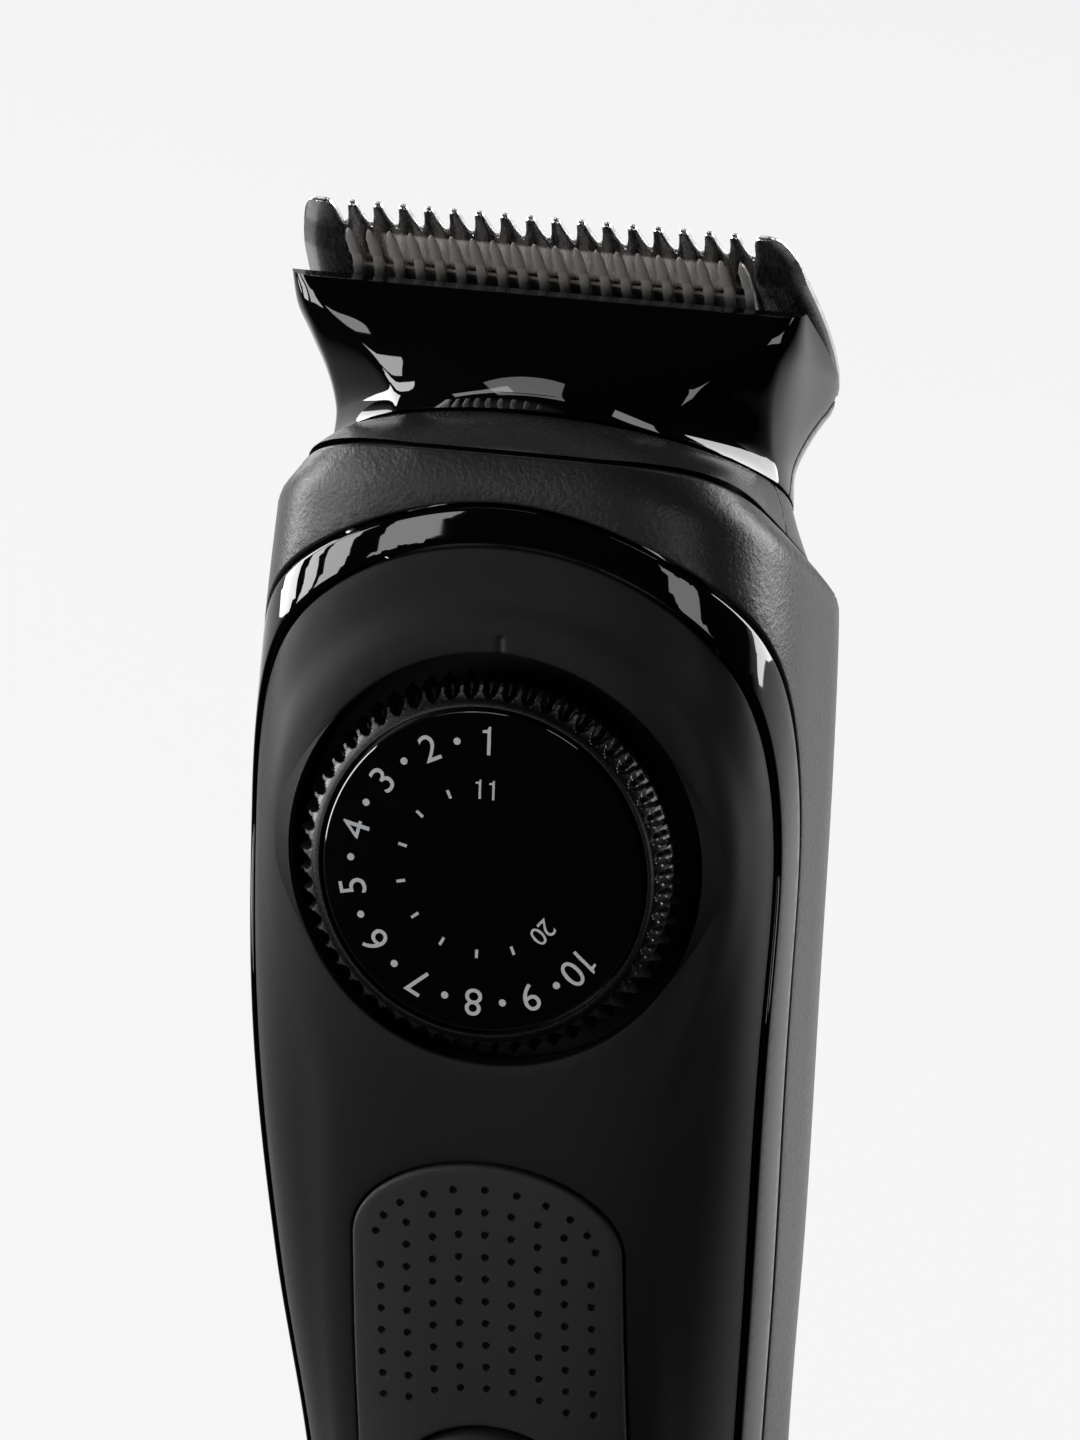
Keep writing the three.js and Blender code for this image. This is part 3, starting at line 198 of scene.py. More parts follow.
RING_SLOPE_POWER = 1.3
RING_FRONT = -1.9
RING_EDGE = 0.1
RING_SLOPE_EDGE = 0.12
RING_SKIRT = 0.9
RING_SKIRT_INSET = 0.02
RING_WALL_START = 1.5
FACE_RADIUS = 12.4
FACE_PROUD = 3.4
FACE_BACK = -1.95
FACE_PROFILE = [
    (0, FACE_BACK), (FACE_RADIUS - 0.1, FACE_BACK), (FACE_RADIUS, -2.05), (FACE_RADIUS, -3.22),
    (FACE_RADIUS - 0.06, -3.32), (FACE_RADIUS - 0.17, -FACE_PROUD), (0, -FACE_PROUD),
]

# Printed figures: places on the face and their forms in shares of their height
NUMBER_RADIUS = 10.2
INNER_NUMBER_RADIUS = 6.4
NUMBER_PITCH = math.radians(25.4)
LAST_NUMBER = 10
INNER_LAST = "20"
PRINT_THICKNESS = 0.02
FIGURE_SHARE = 0.73
FIGURE_SPACING = 0.92
ONE_ACROSS_SHARE = 0.1
TEN_ACROSS_SHARES = (-0.3, 0.3)
ELEVEN_ACROSS_SHARES = (-0.25, 0.45)
# A figure one: a stem and a flag at its top left
ONE_SHARES = [
    (-0.06, -0.5), (0.06, -0.5), (0.06, 0.5), (-0.015, 0.5), (-0.06, 0.39), (-0.23, 0.36), (-0.23, 0.27),
    (-0.06, 0.27),
]
TICK_RADIUS = 0.38
TICK_STRETCH = (0.42, 1.25, 1, 1)

# Grip pad, button and status light
PAD_TOP = 89
PAD_BOTTOM = 45.5
PAD_HALF_WIDTH = 10.5
PAD_ARCH = 6.7
PAD_RIM = 0.3
PAD_LATTICE = 0.5
PAD_WALL = 1
PAD_EDGE_STEP = 0.35
PAD_PROUD = 0.3
PAD_GAP = 0.18
ARCH_DOTS = 11
ARCH_INSET = 1.9
ARCH_END = math.radians(6)
ROW_SHARE = 0.9
DIMPLE_RING_SHARES = (0.4, 0.7, 1, 1.25)
DIMPLE_STEPS = 12
DIMPLE_WALL_SHARE = 0.6
DIMPLE_POWER = 0.7
BUTTON_Z = 58.5
BUTTON_RADIUS = 8.3
BUTTON_GAP = 0.35
STEM_RADIUS = 1.5
# The key's front, from its dish to the flange behind it
BUTTON_PROFILE = [
    (0, -0.95), (3, -1.0), (5.6, -1.16), (6.9, -1.28), (7.5, -1.28), (7.95, -1.12), (8.2, -0.8),
    (BUTTON_RADIUS, -0.4), (BUTTON_RADIUS, 4.8), (9.3, 4.8), (9.3, 5.8), (STEM_RADIUS, 5.8),
]
LIGHT_Z = 31
LIGHT_RADIUS = 1.3
LIGHT_GAP = 0.1

# Base cap
BASE_ROUND = 1.2
BASE_ROUND_STEPS = 6
BASE_SOLE = 0.05
BASE_SOLE_INSET = 5
BASE_EDGE = 0.2
BASE_WALL = 2.3
BASE_PLUG_TOP = 10.9
BASE_PLUG_WALL = 3.7
BASE_FLOOR = 2.5
SOCKET_MOUTH = ((-6.3, -4.5, -5), (6.3, 4.5, 9))

# Head housing: front y and z, back y and z, half width and squareness from the neck to the lip
HEAD_RIBS = np.array([
    [-11.2, 145.9, 13.2, 126, 17.7, 2.1],
    [-9.6, 146.6, 13.8, 130.5, 17, 2.3],
    [-7.9, 147.8, 14.6, 134.8, 17.2, 3.2],
    [-6.5, 149.3, 14, 138.8, 17.9, 5],
    [-5.4, 151, 7.4, 144, 18.6, 7],
    [-4.3, 152.7, -2.2, 153.9, 18.9, 9],
])
HEAD_WALL = 1.6
HEAD_LEVELS = 45
HEAD_INNER_LEVELS = 14
HEAD_INNER_TOP_SHARE = 0.82
# Creases of a head section in shares of its half width and half depth, at the neck and their change to the lip
FRONT_CREASE_SHARES = ((0.61, -0.79), (0.365, -0.21))
SIDE_CREASE_SHARES = (0.9, 0.69)
LIP_CORNER_SHARES = (1, -0.93)
CREASE_BOW_SHARE = 0.045
CREASE_BOW_END = 0.3
CREASE_SPREAD = 0.45
REAR_FLARE = 0.12
# Top of the lip, how far back it is level, and where the sides' edge meets the blade's low end
LIP_TOP = 152.5
LIP_BACK = -3.3
SIDE_EDGE_END = (10.4, 140.1)
PARTING_FRONT = (-1, 135)
PARTING_BACK = (10, 141.4)
FRONT_HEAD_BEVEL = 0.28
REAR_HEAD_BEVEL = 0.1
# Cuts of the head as two corners, in the blade's frame, and a reach past everything
OVERRUN = 60
ABOVE_BLADE = ((-40, -1.3, -OVERRUN), (40, 40, 40))
BLADE_SLOT = ((-17.2, -2.7, -17.6), (17.2, 41, 41))
CARRIER_POCKET = ((-17.2, -6.4, -16), (17.2, 1, -8.8))
# Spigot of the head: lift and inset of its four rings
SPIGOT_RINGS = ((-3, 3.2), (-3, 2), (2, 2), (2, 3.2))
SPIGOT_STEPS = 96
# Points of a head section: from the middle to the front crease, to the side crease and on to the back
CREASE_STEPS = 80
BACK_STEPS = 240
SECTION_POINTS = (25, 13, 41)
BACK_PULL_RUN = 6
CREASE_OFFSETS = (-1, -0.5, 0, 0.5, 1)
FLARE_END = 0.5

# Blade set, in a frame at the tips with Z along the teeth and -Y towards the moving blade
TIP_Y = -5
TIP_Z = 159.2
BLADE_TILT = math.radians(40.8)
BLADE_LENGTH = 24.3
BLADE_THICKNESS = 1
BLADE_RIM = 0.14
BLADE_SCREW_X = 12.4
BLADE_SCREW_Z = -20
BLADE_HOLE_RADIUS = 1.05
TOOTH_COUNT = 16
TOOTH_PITCH = 1.97
NOTCH_DEPTH = 3.3
CHAMFER_WIDTH = 0.9
CHAMFER_DROP = 0.42
CHAMFER_START = 17.3
CHAMFER_RUN = 1.2
TIP_THICKNESS = 0.48
TIP_TAPER = 3
# Half a tooth as (across, down) from its tip, and the guard beside the last tooth as (across, down)
TOOTH_SHAPE = [
    (0, 0), (0.14, 0.02), (0.25, 0.08), (0.33, 0.2), (0.38, 0.42), (0.43, 0.8), (0.49, 1.25), (0.57, 1.75),
    (0.66, 2.2), (0.75, 2.6), (0.82, 2.9), (0.89, 3.12), (0.95, 3.26), (0.985, NOTCH_DEPTH),
]
GUARD_SHAPE = [
    (15.8, NOTCH_DEPTH), (15.92, 3.18), (16, 2.8), (16.08, 2), (16.18, 1.2), (16.3, 0.55), (16.48, 0.18),
    (16.75, 0.02), (17.1, 0), (17.5, 0.02), (17.85, 0.14), (18.15, 0.42), (18.45, 1), (18.7, 1.7), (18.92, 2.6),
    (19.15, 3.7), (19.35, 4.9), (19.6, 7.2), (19.85, 10.4), (20, 13.5), (19.98, 17), (19.8, 20.4), (19.5, 22.6),
    (19.25, 23.6), (18.8, 24.15), (18.2, BLADE_LENGTH),
]
MOVER_TOP = -2.2
MOVER_FRONT = -2.1
MOVER_BACK = -1.3
MOVER_PLATE = 0.25
MOVER_PITCH = 1.6
MOVER_COUNT = 20
MOVER_GAP_END = -7.4
MOVER_LENGTH = 14
RIB_BOTTOM = -10.6
RIB_BEVEL = 0.05
RIB_PROUD = 0.2
BLADE_EDGE_STEP = 0.13
BLADE_INNER_RIM = 0.16
BLADE_LATTICE = 0.5
# A rib's right and left outline as (share of its width, up), and its side as (depth, up)
RIB_RIGHT = [(0.5, RIB_BOTTOM), (0.5, -3.7), (0.3, -2.7), (0.1, MOVER_TOP)]
RIB_LEFT = [(-0.14, MOVER_TOP), (-0.34, -2.6), (-0.5, -3.4)]
RIB_SIDE = [
    (MOVER_BACK, -11), (MOVER_BACK, -2), (-1.5, -2), (-1.64, -3.2), (-1.76, -5.5), (-1.5, -5.75), (-1.5, -5.95),
    (MOVER_FRONT, -7.9), (MOVER_FRONT, -11),
]
# Painted highlight: a lighter, less metallic band across the fixed blade under the moving one, standing in for
# the bright reflection between the moving teeth; its limits along the teeth and across
BAND_TOP = -3.8
BAND_BOTTOM = -8
SHEEN_BAND_HALF_WIDTH = 13.2
BAND_FADE = 0.4
SHEEN_BAND_COLOUR = (0.8, 0.77, 0.75, 1)
SHEEN_BAND_METALLIC = 0.35
# Values of a grain's mask between which the roughness changes
ROUGHNESS_MASK = (0.3, 0.7)

# Finishes: name, colour or the setting that gives it, roughness, metallic, scale and coarseness of the grain
# or three scales of ground lines, bump and its depth, spread of the roughness, and specular level
FINISHES = {
    "housing": ("Satin Housing", "shell_colour", 0.33, 0, (3600, 0.35), 0.5, 0.12, 0.06, 0.26),
    "collar": ("Satin Collar", "shell_colour", 0.27, 0, (3600, 0.3), 0.25, 0.08, 0.06, 0.22),
    "well": ("Well Shade", "gloss_colour", 0.6, 0, (5000, 0.2), 0.1, 0.05, 0.06, 0.1),
    "matte": ("Matte Panel", "panel_colour", 0.46, 0, (6000, 0.2), 0.15, 0.04, 0.06, 0.12),
    "ring": ("Dial Ring", "gloss_colour", 0.3, 0, (5000, 0.2), 0.2, 0.05, 0.06, 0.25),
    "gloss": ("Piano Black", "gloss_colour", 0.03, 0, (300, 0), 0.02, 0.03, 0.01, 0.5),
    "rubber": ("Grip Rubber", "grip_colour", 0.7, 0, (5000, 0.3), 0.3, 0.05, 0.06, 0.3),
    "inner": ("Inner Plastic", (0.02, 0.021, 0.023), 0.5, 0, (2500, 0.3), 0.15, 0.05, 0.06, 0.5),
    "cream": ("Cream Plastic", (0.62, 0.57, 0.47), 0.4, 0, (1500, 0.3), 0.1, 0.05, 0.06, 0.5),
    "blade": ("Ground Blade Steel And Painted Sheen", "steel_colour", 0.26, 1, (9000, 900, 900), 0.1, 0.02, 0.06, 0.5),
    "mover": ("Moving Blade Steel", (0.42, 0.4, 0.38), 0.38, 0.6, (12000, 600, 600), 0.25, 0.03, 0.1, 0.5),
    "zinc": ("Zinc Plate", (0.4, 0.41, 0.43), 0.35, 1, (3000, 3000, 600), 0.1, 0.05, 0.06, 0.5),
    "spring": ("Spring Steel", (0.5, 0.5, 0.52), 0.25, 1, (700, 4000, 4000), 0.1, 0.05, 0.06, 0.5),
    "nickel": ("Nickel Strip", (0.55, 0.53, 0.48), 0.3, 1, (3000, 900, 900), 0.1, 0.05, 0.06, 0.5),
    "brass": ("Contact Brass", (0.72, 0.5, 0.18), 0.22, 1, (3000, 3000, 400), 0.08, 0.05, 0.06, 0.5),
    "battery": ("Battery Sleeve", (0.03, 0.13, 0.08), 0.32, 0, (500, 0.2), 0.1, 0.05, 0.06, 0.5),
    "board": ("Solder Mask", (0.012, 0.07, 0.03), 0.35, 0, (900, 0.6), 0.1, 0.05, 0.06, 0.5),
    "lens": ("Light Pipe", (0.5, 0.52, 0.54), 0.2, 0, (1800, 0.2), 0.05, 0.05, 0.06, 0.5),
    "print": ("Printed Numbers", "print_colour", 0.5, 0, (5000, 0.2), 0.05, 0.05, 0.06, 0.2),
}
# Finishes of the frame's own nodes that stay as they are
NODE_FINISHES = {
    "lens": ("light_pipe",),
    "cream": ("status_led", "dial_cam", "eccentric_cam"),
    "inner": ("charge_socket", "comb_carriage", "motor_end_bell", "chassis", "blade_carrier"),
    "brass": ("charge_pin_left", "charge_pin_right"),
    "spring": ("detent_spring", "motor_shaft", "blade_spring"),
    "zinc": (
        "dial_screw", "motor_can", "case_screw_1", "case_screw_2", "case_screw_3", "case_screw_4",
        "motor_screw_left", "motor_screw_right", "blade_screw_left", "blade_screw_right",
    ),
    "battery": ("battery_cell",),
    "nickel": ("battery_tab_top", "battery_tab_bottom", "power_switch"),
    "board": ("circuit_board",),
}

# Photo's camera: degrees round from the front and up, metres away, and height of the picture
PHOTO_AZIMUTH = math.radians(14.2)
PHOTO_ELEVATION = math.radians(22)
CAMERA_DISTANCE = 1.4
PICTURE_HEIGHT = 0.1091
SENSOR_WIDTH = 36
LOOK_AT = (-0.3, -4.76, 118.3)
# Share of the pale backdrop that the floor gives to the camera by itself; the lamps add the rest
FLOOR_SEEN_SHARE = 0.935
FLOOR_COLOUR = (0.08, 0.08, 0.08, 1)
FLOOR_SIZE = 8
# Reflections see a dark floor up to the first Y, in metres, and a pale one from the second on
FLOOR_FADE = (-0.05, 0.15)
FLOOR_FADE_TO = 0.95
# The same for the backdrop, by how far the view's direction points to the back
WORLD_FADE = (0.35, 0.75)
WORLD_DARK = 0.003
# Standing strips round the object: degrees from the front, degrees wide, bottom and top, and brightness
STRIPS = (
    (-21, 11, 0.0, 0.18, 5), (-45, 15, 0.0, 0.3, 8.5), (-64, 12, 0.0, 0.42, 11), (-92, 26, 0.0, 0.42, 14),
    (26, 20, 0.0, 0.19, 3.6), (118, 40, 0.0, 0.5, 11), (-135, 30, 0.12, 0.6, 5),
)
STRIP_DISTANCE = 0.62
# Ceiling panels: place, size and brightness
CEILING = (
    ((-0.2, 0.04, 0.95), (0.28, 0.3), 2.4), ((0.35, 0.02, 0.9), (0.18, 0.25), 4),
    ((-0.4, 0.1, 0.9), (0.1, 0.3), 3.6),
)


class GroomerSettings(bpy.types.PropertyGroup):
    """Sizes and colours that a user of the model would change."""

    shell_colour: bpy.props.FloatVectorProperty(
        name="Shell Colour", description="Textured rear shell and collar", subtype="COLOR",
        min=0, max=1, default=(0.012, 0.012, 0.013))
    panel_colour: bpy.props.FloatVectorProperty(
        name="Panel Colour", description="Matte front panel and button", subtype="COLOR",
        min=0, max=1, default=(0.008, 0.008, 0.0088))
    gloss_colour: bpy.props.FloatVectorProperty(
        name="Gloss Colour", description="Polished head housing, bezel and dial face", subtype="COLOR",
        min=0, max=1, default=(0.0015, 0.0015, 0.0017))
    grip_colour: bpy.props.FloatVectorProperty(
        name="Grip Colour", description="Soft grip pad", subtype="COLOR", min=0, max=1,
        default=(0.012, 0.012, 0.0125))
    print_colour: bpy.props.FloatVectorProperty(
        name="Print Colour", description="Numbers, dots and marks on the dial", subtype="COLOR",
        min=0, max=1, default=(0.4, 0.41, 0.42))
    steel_colour: bpy.props.FloatVectorProperty(
        name="Steel Colour", description="Ground steel of both blades", subtype="COLOR",
        min=0, max=1, default=(0.56, 0.55, 0.55))
    number_height: bpy.props.FloatProperty(
        name="Number Height", description="Height of the large numbers on the dial", unit="LENGTH",
        min=0.0005, max=0.004, default=0.0022)
    small_number_height: bpy.props.FloatProperty(
        name="Small Number Height", description="Height of the small numbers of the inner scale",
        unit="LENGTH", min=0.0005, max=0.003, default=0.0015)
    dot_radius: bpy.props.FloatProperty(
        name="Dot Radius", description="Radius of the dots between the large numbers", unit="LENGTH",
        min=0.0001, max=0.001, default=0.00028)
    ring_teeth: bpy.props.IntProperty(
        name="Ring Teeth", description="Scallops round the dial's ring", min=20, max=90, default=58)
    scallop_depth: bpy.props.FloatProperty(
        name="Scallop Depth", description="Depth of the ring's scallops", unit="LENGTH",
        min=0.0001, max=0.0014, default=0.00095)
    dimple_pitch: bpy.props.FloatProperty(
        name="Dimple Pitch", description="Distance between the columns of dimples", unit="LENGTH",
        min=0.001, max=0.004, default=0.00205)
    dimple_radius: bpy.props.FloatProperty(
        name="Dimple Radius", description="Radius of each dimple of the grip", unit="LENGTH",
        min=0.0002, max=0.001, default=0.00033)
    dimple_depth: bpy.props.FloatProperty(
        name="Dimple Depth", description="Depth of each dimple of the grip", unit="LENGTH",
        min=0, max=0.0008, default=0.0006)
    mover_rib_width: bpy.props.FloatProperty(
        name="Moving Tooth Width", description="Width of each tooth of the moving blade", unit="LENGTH",
        min=0.0003, max=0.0012, default=0.00074)
    background: bpy.props.FloatProperty(
        name="Background", description="Brightness of the floor and the backdrop", min=0, max=1,
        default=0.855)


# Body surface: x and y of the skin at any height and any distance round from the front's middle
def smooth_step(share):
    return share * share * (3 - 2 * share)


def between(low, high, slope_low, slope_high, t):
    """A smooth curve from one row of values to the next, with these slopes at its ends."""
    return low + (high - low) * smooth_step(t) + slope_low * t * (1 - t) ** 2 - slope_high * t * t * (1 - t)


def stations(heights):
    share = np.clip(np.asarray(heights, float) / BODY_SPAN, 0, 1)
    rows = STATION_SHARES
    index = np.clip(np.searchsorted(rows[:, 0], share, side="right") - 1, 0, len(rows) - 2)
    low, high = rows[index], rows[index + 1]
    before, after = rows[np.maximum(index - 1, 0)], rows[np.minimum(index + 2, len(rows) - 1)]
    run = (high[:, 0] - low[:, 0])[:, None]
    t = (share[:, None] - low[:, :1]) / run
    slope_low = (high - before) / (high[:, :1] - before[:, :1]) * run
    slope_high = (after - low) / (after[:, :1] - low[:, :1]) * run
    return between(low, high, slope_low, slope_high, t)


def skin_tables():
    """X and y of the skin for every height and distance round, and the length half round at each height."""
    share = stations(LEVELS)
    half, front, back = share[:, 1] * BODY_HALF_WIDTH, share[:, 2] * FRONT_REACH, share[:, 3] * BACK_REACH
    ahead, square = share[:, 4] * FRONT_REACH, share[:, 5]
    angle = np.linspace(-math.pi / 2, math.pi / 2, SECTION_STEPS)
    across, along = np.cos(angle), np.sin(angle)
    across[0] = across[-1] = 0
    x_table = np.zeros((len(LEVELS), len(ROUNDS)))
    y_table = np.zeros_like(x_table)
    around = np.zeros(len(LEVELS))
    for level in range(len(LEVELS)):
        power = np.where(along < 0, square[level], BACK_SQUARENESS)
        radius = (np.abs(across) ** power + np.abs(along) ** power) ** (-1 / power)
        reach = np.where(along < 0, front[level] - ahead[level], back[level] + ahead[level])
        x = across * radius * half[level]
        y = along * radius * reach - ahead[level]
        length = np.concatenate([[0], np.cumsum(np.hypot(np.diff(x), np.diff(y)))])
        around[level] = length[-1]
        folded = np.where(ROUNDS > length[-1], 2 * length[-1] - ROUNDS, ROUNDS)
        x_table[level] = np.interp(folded, length, x) * np.where(ROUNDS > length[-1], -1, 1)
        y_table[level] = np.interp(folded, length, y)
    return x_table, y_table, around


X_TABLE, Y_TABLE, AROUND = skin_tables()


def lookup(table, level, column):
    i = np.clip(np.floor(level).astype(int), 0, table.shape[0] - 2)
    j = np.clip(np.floor(column).astype(int), 0, table.shape[1] - 2)
    a, b = level - i, column - j
    low = table[i, j] * (1 - b) + table[i, j + 1] * b
    high = table[i + 1, j] * (1 - b) + table[i + 1, j + 1] * b
    return low * (1 - a) + high * a


def skin(flat):
    """Points on the body's skin for rows of (distance round from the front's middle, height)."""
    flat = np.asarray(flat, float).reshape(-1, 2)
    level = (flat[:, 1] - LEVELS[0]) / LEVEL_STEP
    column = np.abs(flat[:, 0]) / ROUND_STEP
    x = lookup(X_TABLE, level, column) * np.where(flat[:, 0] < 0, -1, 1)
    return np.stack([x, lookup(Y_TABLE, level, column), flat[:, 1]], axis=1)


def skin_normals(flat):
    flat = np.asarray(flat, float).reshape(-1, 2)
    across = skin(flat + [NORMAL_STEP, 0]) - skin(flat - [NORMAL_STEP, 0])
    up = skin(flat + [0, NORMAL_STEP]) - skin(flat - [0, NORMAL_STEP])
    normal = np.cross(across, up)
    return normal / np.linalg.norm(normal, axis=1)[:, None]


def half_around(height):
    return float(np.interp(height, LEVELS, AROUND))


def row_at(height):
    level = (height - LEVELS[0]) / LEVEL_STEP
    i = int(min(max(math.floor(level), 0), len(LEVELS) - 2))
    part = level - i
    return X_TABLE[i] * (1 - part) + X_TABLE[i + 1] * part, Y_TABLE[i] * (1 - part) + Y_TABLE[i + 1] * part


def round_at_x(x, height):
    """How far round the front a point with this x lies."""
    xs, _ = row_at(height)
    widest = int(np.argmax(xs))
    return float(np.interp(x, xs[:widest + 1], ROUNDS[:widest + 1]))


def round_at_y(y, height):
    _, ys = row_at(height)
    last = int(half_around(height) / ROUND_STEP)
    return float(np.interp(y, ys[:last], ROUNDS[:last]))


def ahead_at(height):
    return float(stations([height])[0, 4]) * FRONT_REACH


# Meshes
def piece_from(name, verts, faces, body, material, replaces=(), smooth=40):
    """Makes a piece from millimetre points in the body's own frame."""
    mesh = bpy.data.meshes.new(name)
    points = np.asarray(verts, float) * MM
    points[:, 1] += MIDDLE_Y
    mesh.from_pydata(points.tolist(), [], [list(face) for face in faces])
    mesh.validate()
    mesh.update()
    piece = bpy.data.objects.new(name, mesh)
    bpy.context.scene.collection.objects.link(piece)
    return finish_piece(piece, body, material, replaces, smooth)


def only(piece):
    bpy.ops.object.select_all(action="DESELECT")
    piece.select_set(True)
    bpy.context.view_layer.objects.active = piece


def smoothed(piece, angle):
    only(piece)
    bpy.ops.object.shade_smooth_by_angle(angle=math.radians(angle), keep_sharp_edges=False)


def finish_piece(piece, body, material, replaces=(), smooth=40):
    smoothed(piece, smooth)
    piece.data.materials.clear()
    piece.data.materials.append(material)
    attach(piece, body)
    if replaces:
        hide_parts(*replaces)
    return piece


def apply_modifiers(piece):
    only(piece)
    for modifier in list(piece.modifiers):
        bpy.ops.object.modifier_apply(modifier=modifier.name)


def edit(piece):
    only(piece)
    bpy.ops.object.mode_set(mode="EDIT")
    bpy.ops.mesh.select_all(action="SELECT")


def done():
    bpy.ops.object.mode_set(mode="OBJECT")


def recalculated(piece):
    edit(piece)
    bpy.ops.mesh.normals_make_consistent(inside=False)
    done()
    return piece


# Patches of the skin, drawn flat as half outlines: [distance round, height, True on a real edge]
def resampled(line, step):
    line = np.asarray(line, float)
    length = np.concatenate([[0], np.cumsum(np.hypot(*np.diff(line, axis=0).T))])
    count = max(1, int(round(length[-1] / step)))
    at = np.linspace(0, length[-1], count + 1)
    return np.stack([np.interp(at, length, line[:, 0]), np.interp(at, length, line[:, 1])], axis=1)


def eased(line, passes):
    """Rounds off the corners of a line and leaves its ends."""
    line = np.array(line, float)
    for _ in range(passes):
        line[1:-1] = (line[:-2] + 2 * line[1:-1] + line[2:]) / 4
    return line


def inside(points, outline):
    x, y = points[:, 0], points[:, 1]
    within = np.zeros(len(points), bool)
    x0, y0 = outline[:, 0], outline[:, 1]
    x1, y1 = np.roll(x0, -1), np.roll(y0, -1)
    for a, b, c, d in zip(x0, y0, x1, y1):
        if b == d:
            continue
        crossing = ((b > y) != (d > y)) & (x < (c - a) * (y - b) / (d - b) + a)
        within ^= crossing
    return within


def edge_distance(points, segments):
    least = np.full(len(points), 1e9)
    for (ax, ay), (bx, by) in segments:
        dx, dy = bx - ax, by - ay
        run = dx * dx + dy * dy
        if run == 0:
            continue
        share = np.clip(((points[:, 0] - ax) * dx + (points[:, 1] - ay) * dy) / run, 0, 1)
        least = np.minimum(least, np.hypot(points[:, 0] - ax - share * dx, points[:, 1] - ay - share * dy))
    return least


def closed_outline(lines, step):
    """Points of lines that close on themselves, and for each whether a real edge follows it."""
    outline, real = [], []
    for line, is_edge in lines:
        dense = resampled(line, step)
        outline.extend(dense[:-1].tolist())
        real.extend([is_edge] * (len(dense) - 1))
    return np.array(outline), np.array(real)


def rim_points(outline, real, segments, rim):
    """Rings of points inside the real edges, where the rounding bends the surface."""
    following = np.roll(outline, -1, axis=0)
    area = np.sum(outline[:, 0] * following[:, 1] - following[:, 0] * outline[:, 1])
    tangent = following - np.roll(outline, 1, axis=0)
    normal = np.stack([-tangent[:, 1], tangent[:, 0]], axis=1) * (1 if area > 0 else -1)
    normal /= np.maximum(np.linalg.norm(normal, axis=1), 1e-9)[:, None]
    touches, ends = real & np.roll(real, 1), real != np.roll(real, 1)
    for i in np.nonzero(ends)[0]:
        run = (following[i] if real[i - 1] else outline[i - 1]) - outline[i]
        normal[i] = run / np.linalg.norm(run)
    rings = []
    for share in RIM_SHARES:
        ring = outline[touches | ends] + normal[touches | ends] * rim * share
        rings.append(ring[edge_distance(ring, segments) > rim * share * RING_KEPT_SHARE])
    return rings


def lattice_points(outline, every, segments, rim, lattice):
    """Points spread over the space inside, clear of its edges."""
    low, high = outline.min(axis=0), outline.max(axis=0)
    xs = np.arange(low[0], high[0], lattice)
    ys = np.arange(low[1], high[1], lattice * math.sqrt(3) / 2)
    grid = np.array([[x + (lattice / 2 if row % 2 else 0), y] for row, y in enumerate(ys) for x in xs])
    grid = grid[inside(grid, outline)]
    clear = edge_distance(grid, every) > lattice * LATTICE_CLEAR_SHARE
    return grid[clear & (edge_distance(grid, segments) > rim + lattice * LATTICE_EDGE_SHARE)]


def flat_mesh(lines, step, rim, lattice, extra=None):
    """Triangles over the space inside lines of (points, real edge or not) that close on themselves."""
    outline, real = closed_outline(lines, step)
    count = len(outline)
    every = list(zip(outline, np.roll(outline, -1, axis=0)))
    segments = [segment for segment, is_edge in zip(every, real) if is_edge]
    points = [outline, *rim_points(outline, real, segments, rim)]
    points.append(lattice_points(outline, every, segments, rim, lattice))
    if extra is not None:
        points.append(extra)
    edges = [(i, (i + 1) % count) for i in range(count)]
    vectors = [Vector(point) for point in np.concatenate(points)]
    verts, _, faces, _, _, _ = delaunay_2d_cdt(vectors, edges, [], 0, 1e-7, False)
    verts = np.array([tuple(v) for v in verts])
    faces = np.array([list(face) for face in faces if len(face) == 3])
    faces = faces[inside(verts[faces].mean(axis=1), outline)]
    used = np.unique(faces)
    renumber = np.full(len(verts), -1)
    renumber[used] = np.arange(len(used))
    verts, faces = verts[used], renumber[faces]
    a, b, c = verts[faces[:, 0]], verts[faces[:, 1]], verts[faces[:, 2]]
    turned = (b[:, 0] - a[:, 0]) * (c[:, 1] - a[:, 1]) - (c[:, 0] - a[:, 0]) * (b[:, 1] - a[:, 1]) < 0
    faces[turned] = faces[turned][:, ::-1]
    return verts, faces, edge_distance(verts, segments)


def boundary_edges(faces):
    seen = {}
    for face in faces:
        for k in range(3):
            edge = (int(face[k]), int(face[(k + 1) % 3]))
            if (edge[1], edge[0]) in seen:
                del seen[(edge[1], edge[0])]
            else:
                seen[edge] = True
    return list(seen)


def mirrored_solid(faces, outer, inner, middle):
    """Joins an outer and an inner sheet at their edges and mirrors them about the middle."""
    count = len(outer)
    outer[middle, 0] = inner[middle, 0] = 0
    verts = np.concatenate([outer, inner])
    made = [tuple(face) for face in faces] + [tuple(face[::-1] + count) for face in faces]
    for a, b in boundary_edges(faces):
        if not (middle[a] and middle[b]):
            made.append((a, a + count, b + count, b))
    mirror = verts * [-1, 1, 1]
    total = len(verts)
    both = np.concatenate([verts, mirror])
    same = np.arange(2 * total)
    for index in np.nonzero(np.concatenate([middle, middle]))[0]:
        same[index + total] = index
    faces_out = list(made)
    for face in made:
        faces_out.append(tuple(int(same[i + total]) for i in face[::-1]))
    used = np.unique(np.concatenate([np.array(face) for face in faces_out]))
    renumber = np.full(2 * total, -1)
    renumber[used] = np.arange(len(used))
    return both[used], [tuple(int(renumber[i]) for i in face) for face in faces_out]


def rounding(away, rim):
    """How far a rounded edge drops at a distance from the edge."""
    near = np.clip(rim - away, 0, rim)
    return rim - np.sqrt(np.maximum(rim * rim - near * near, 0))


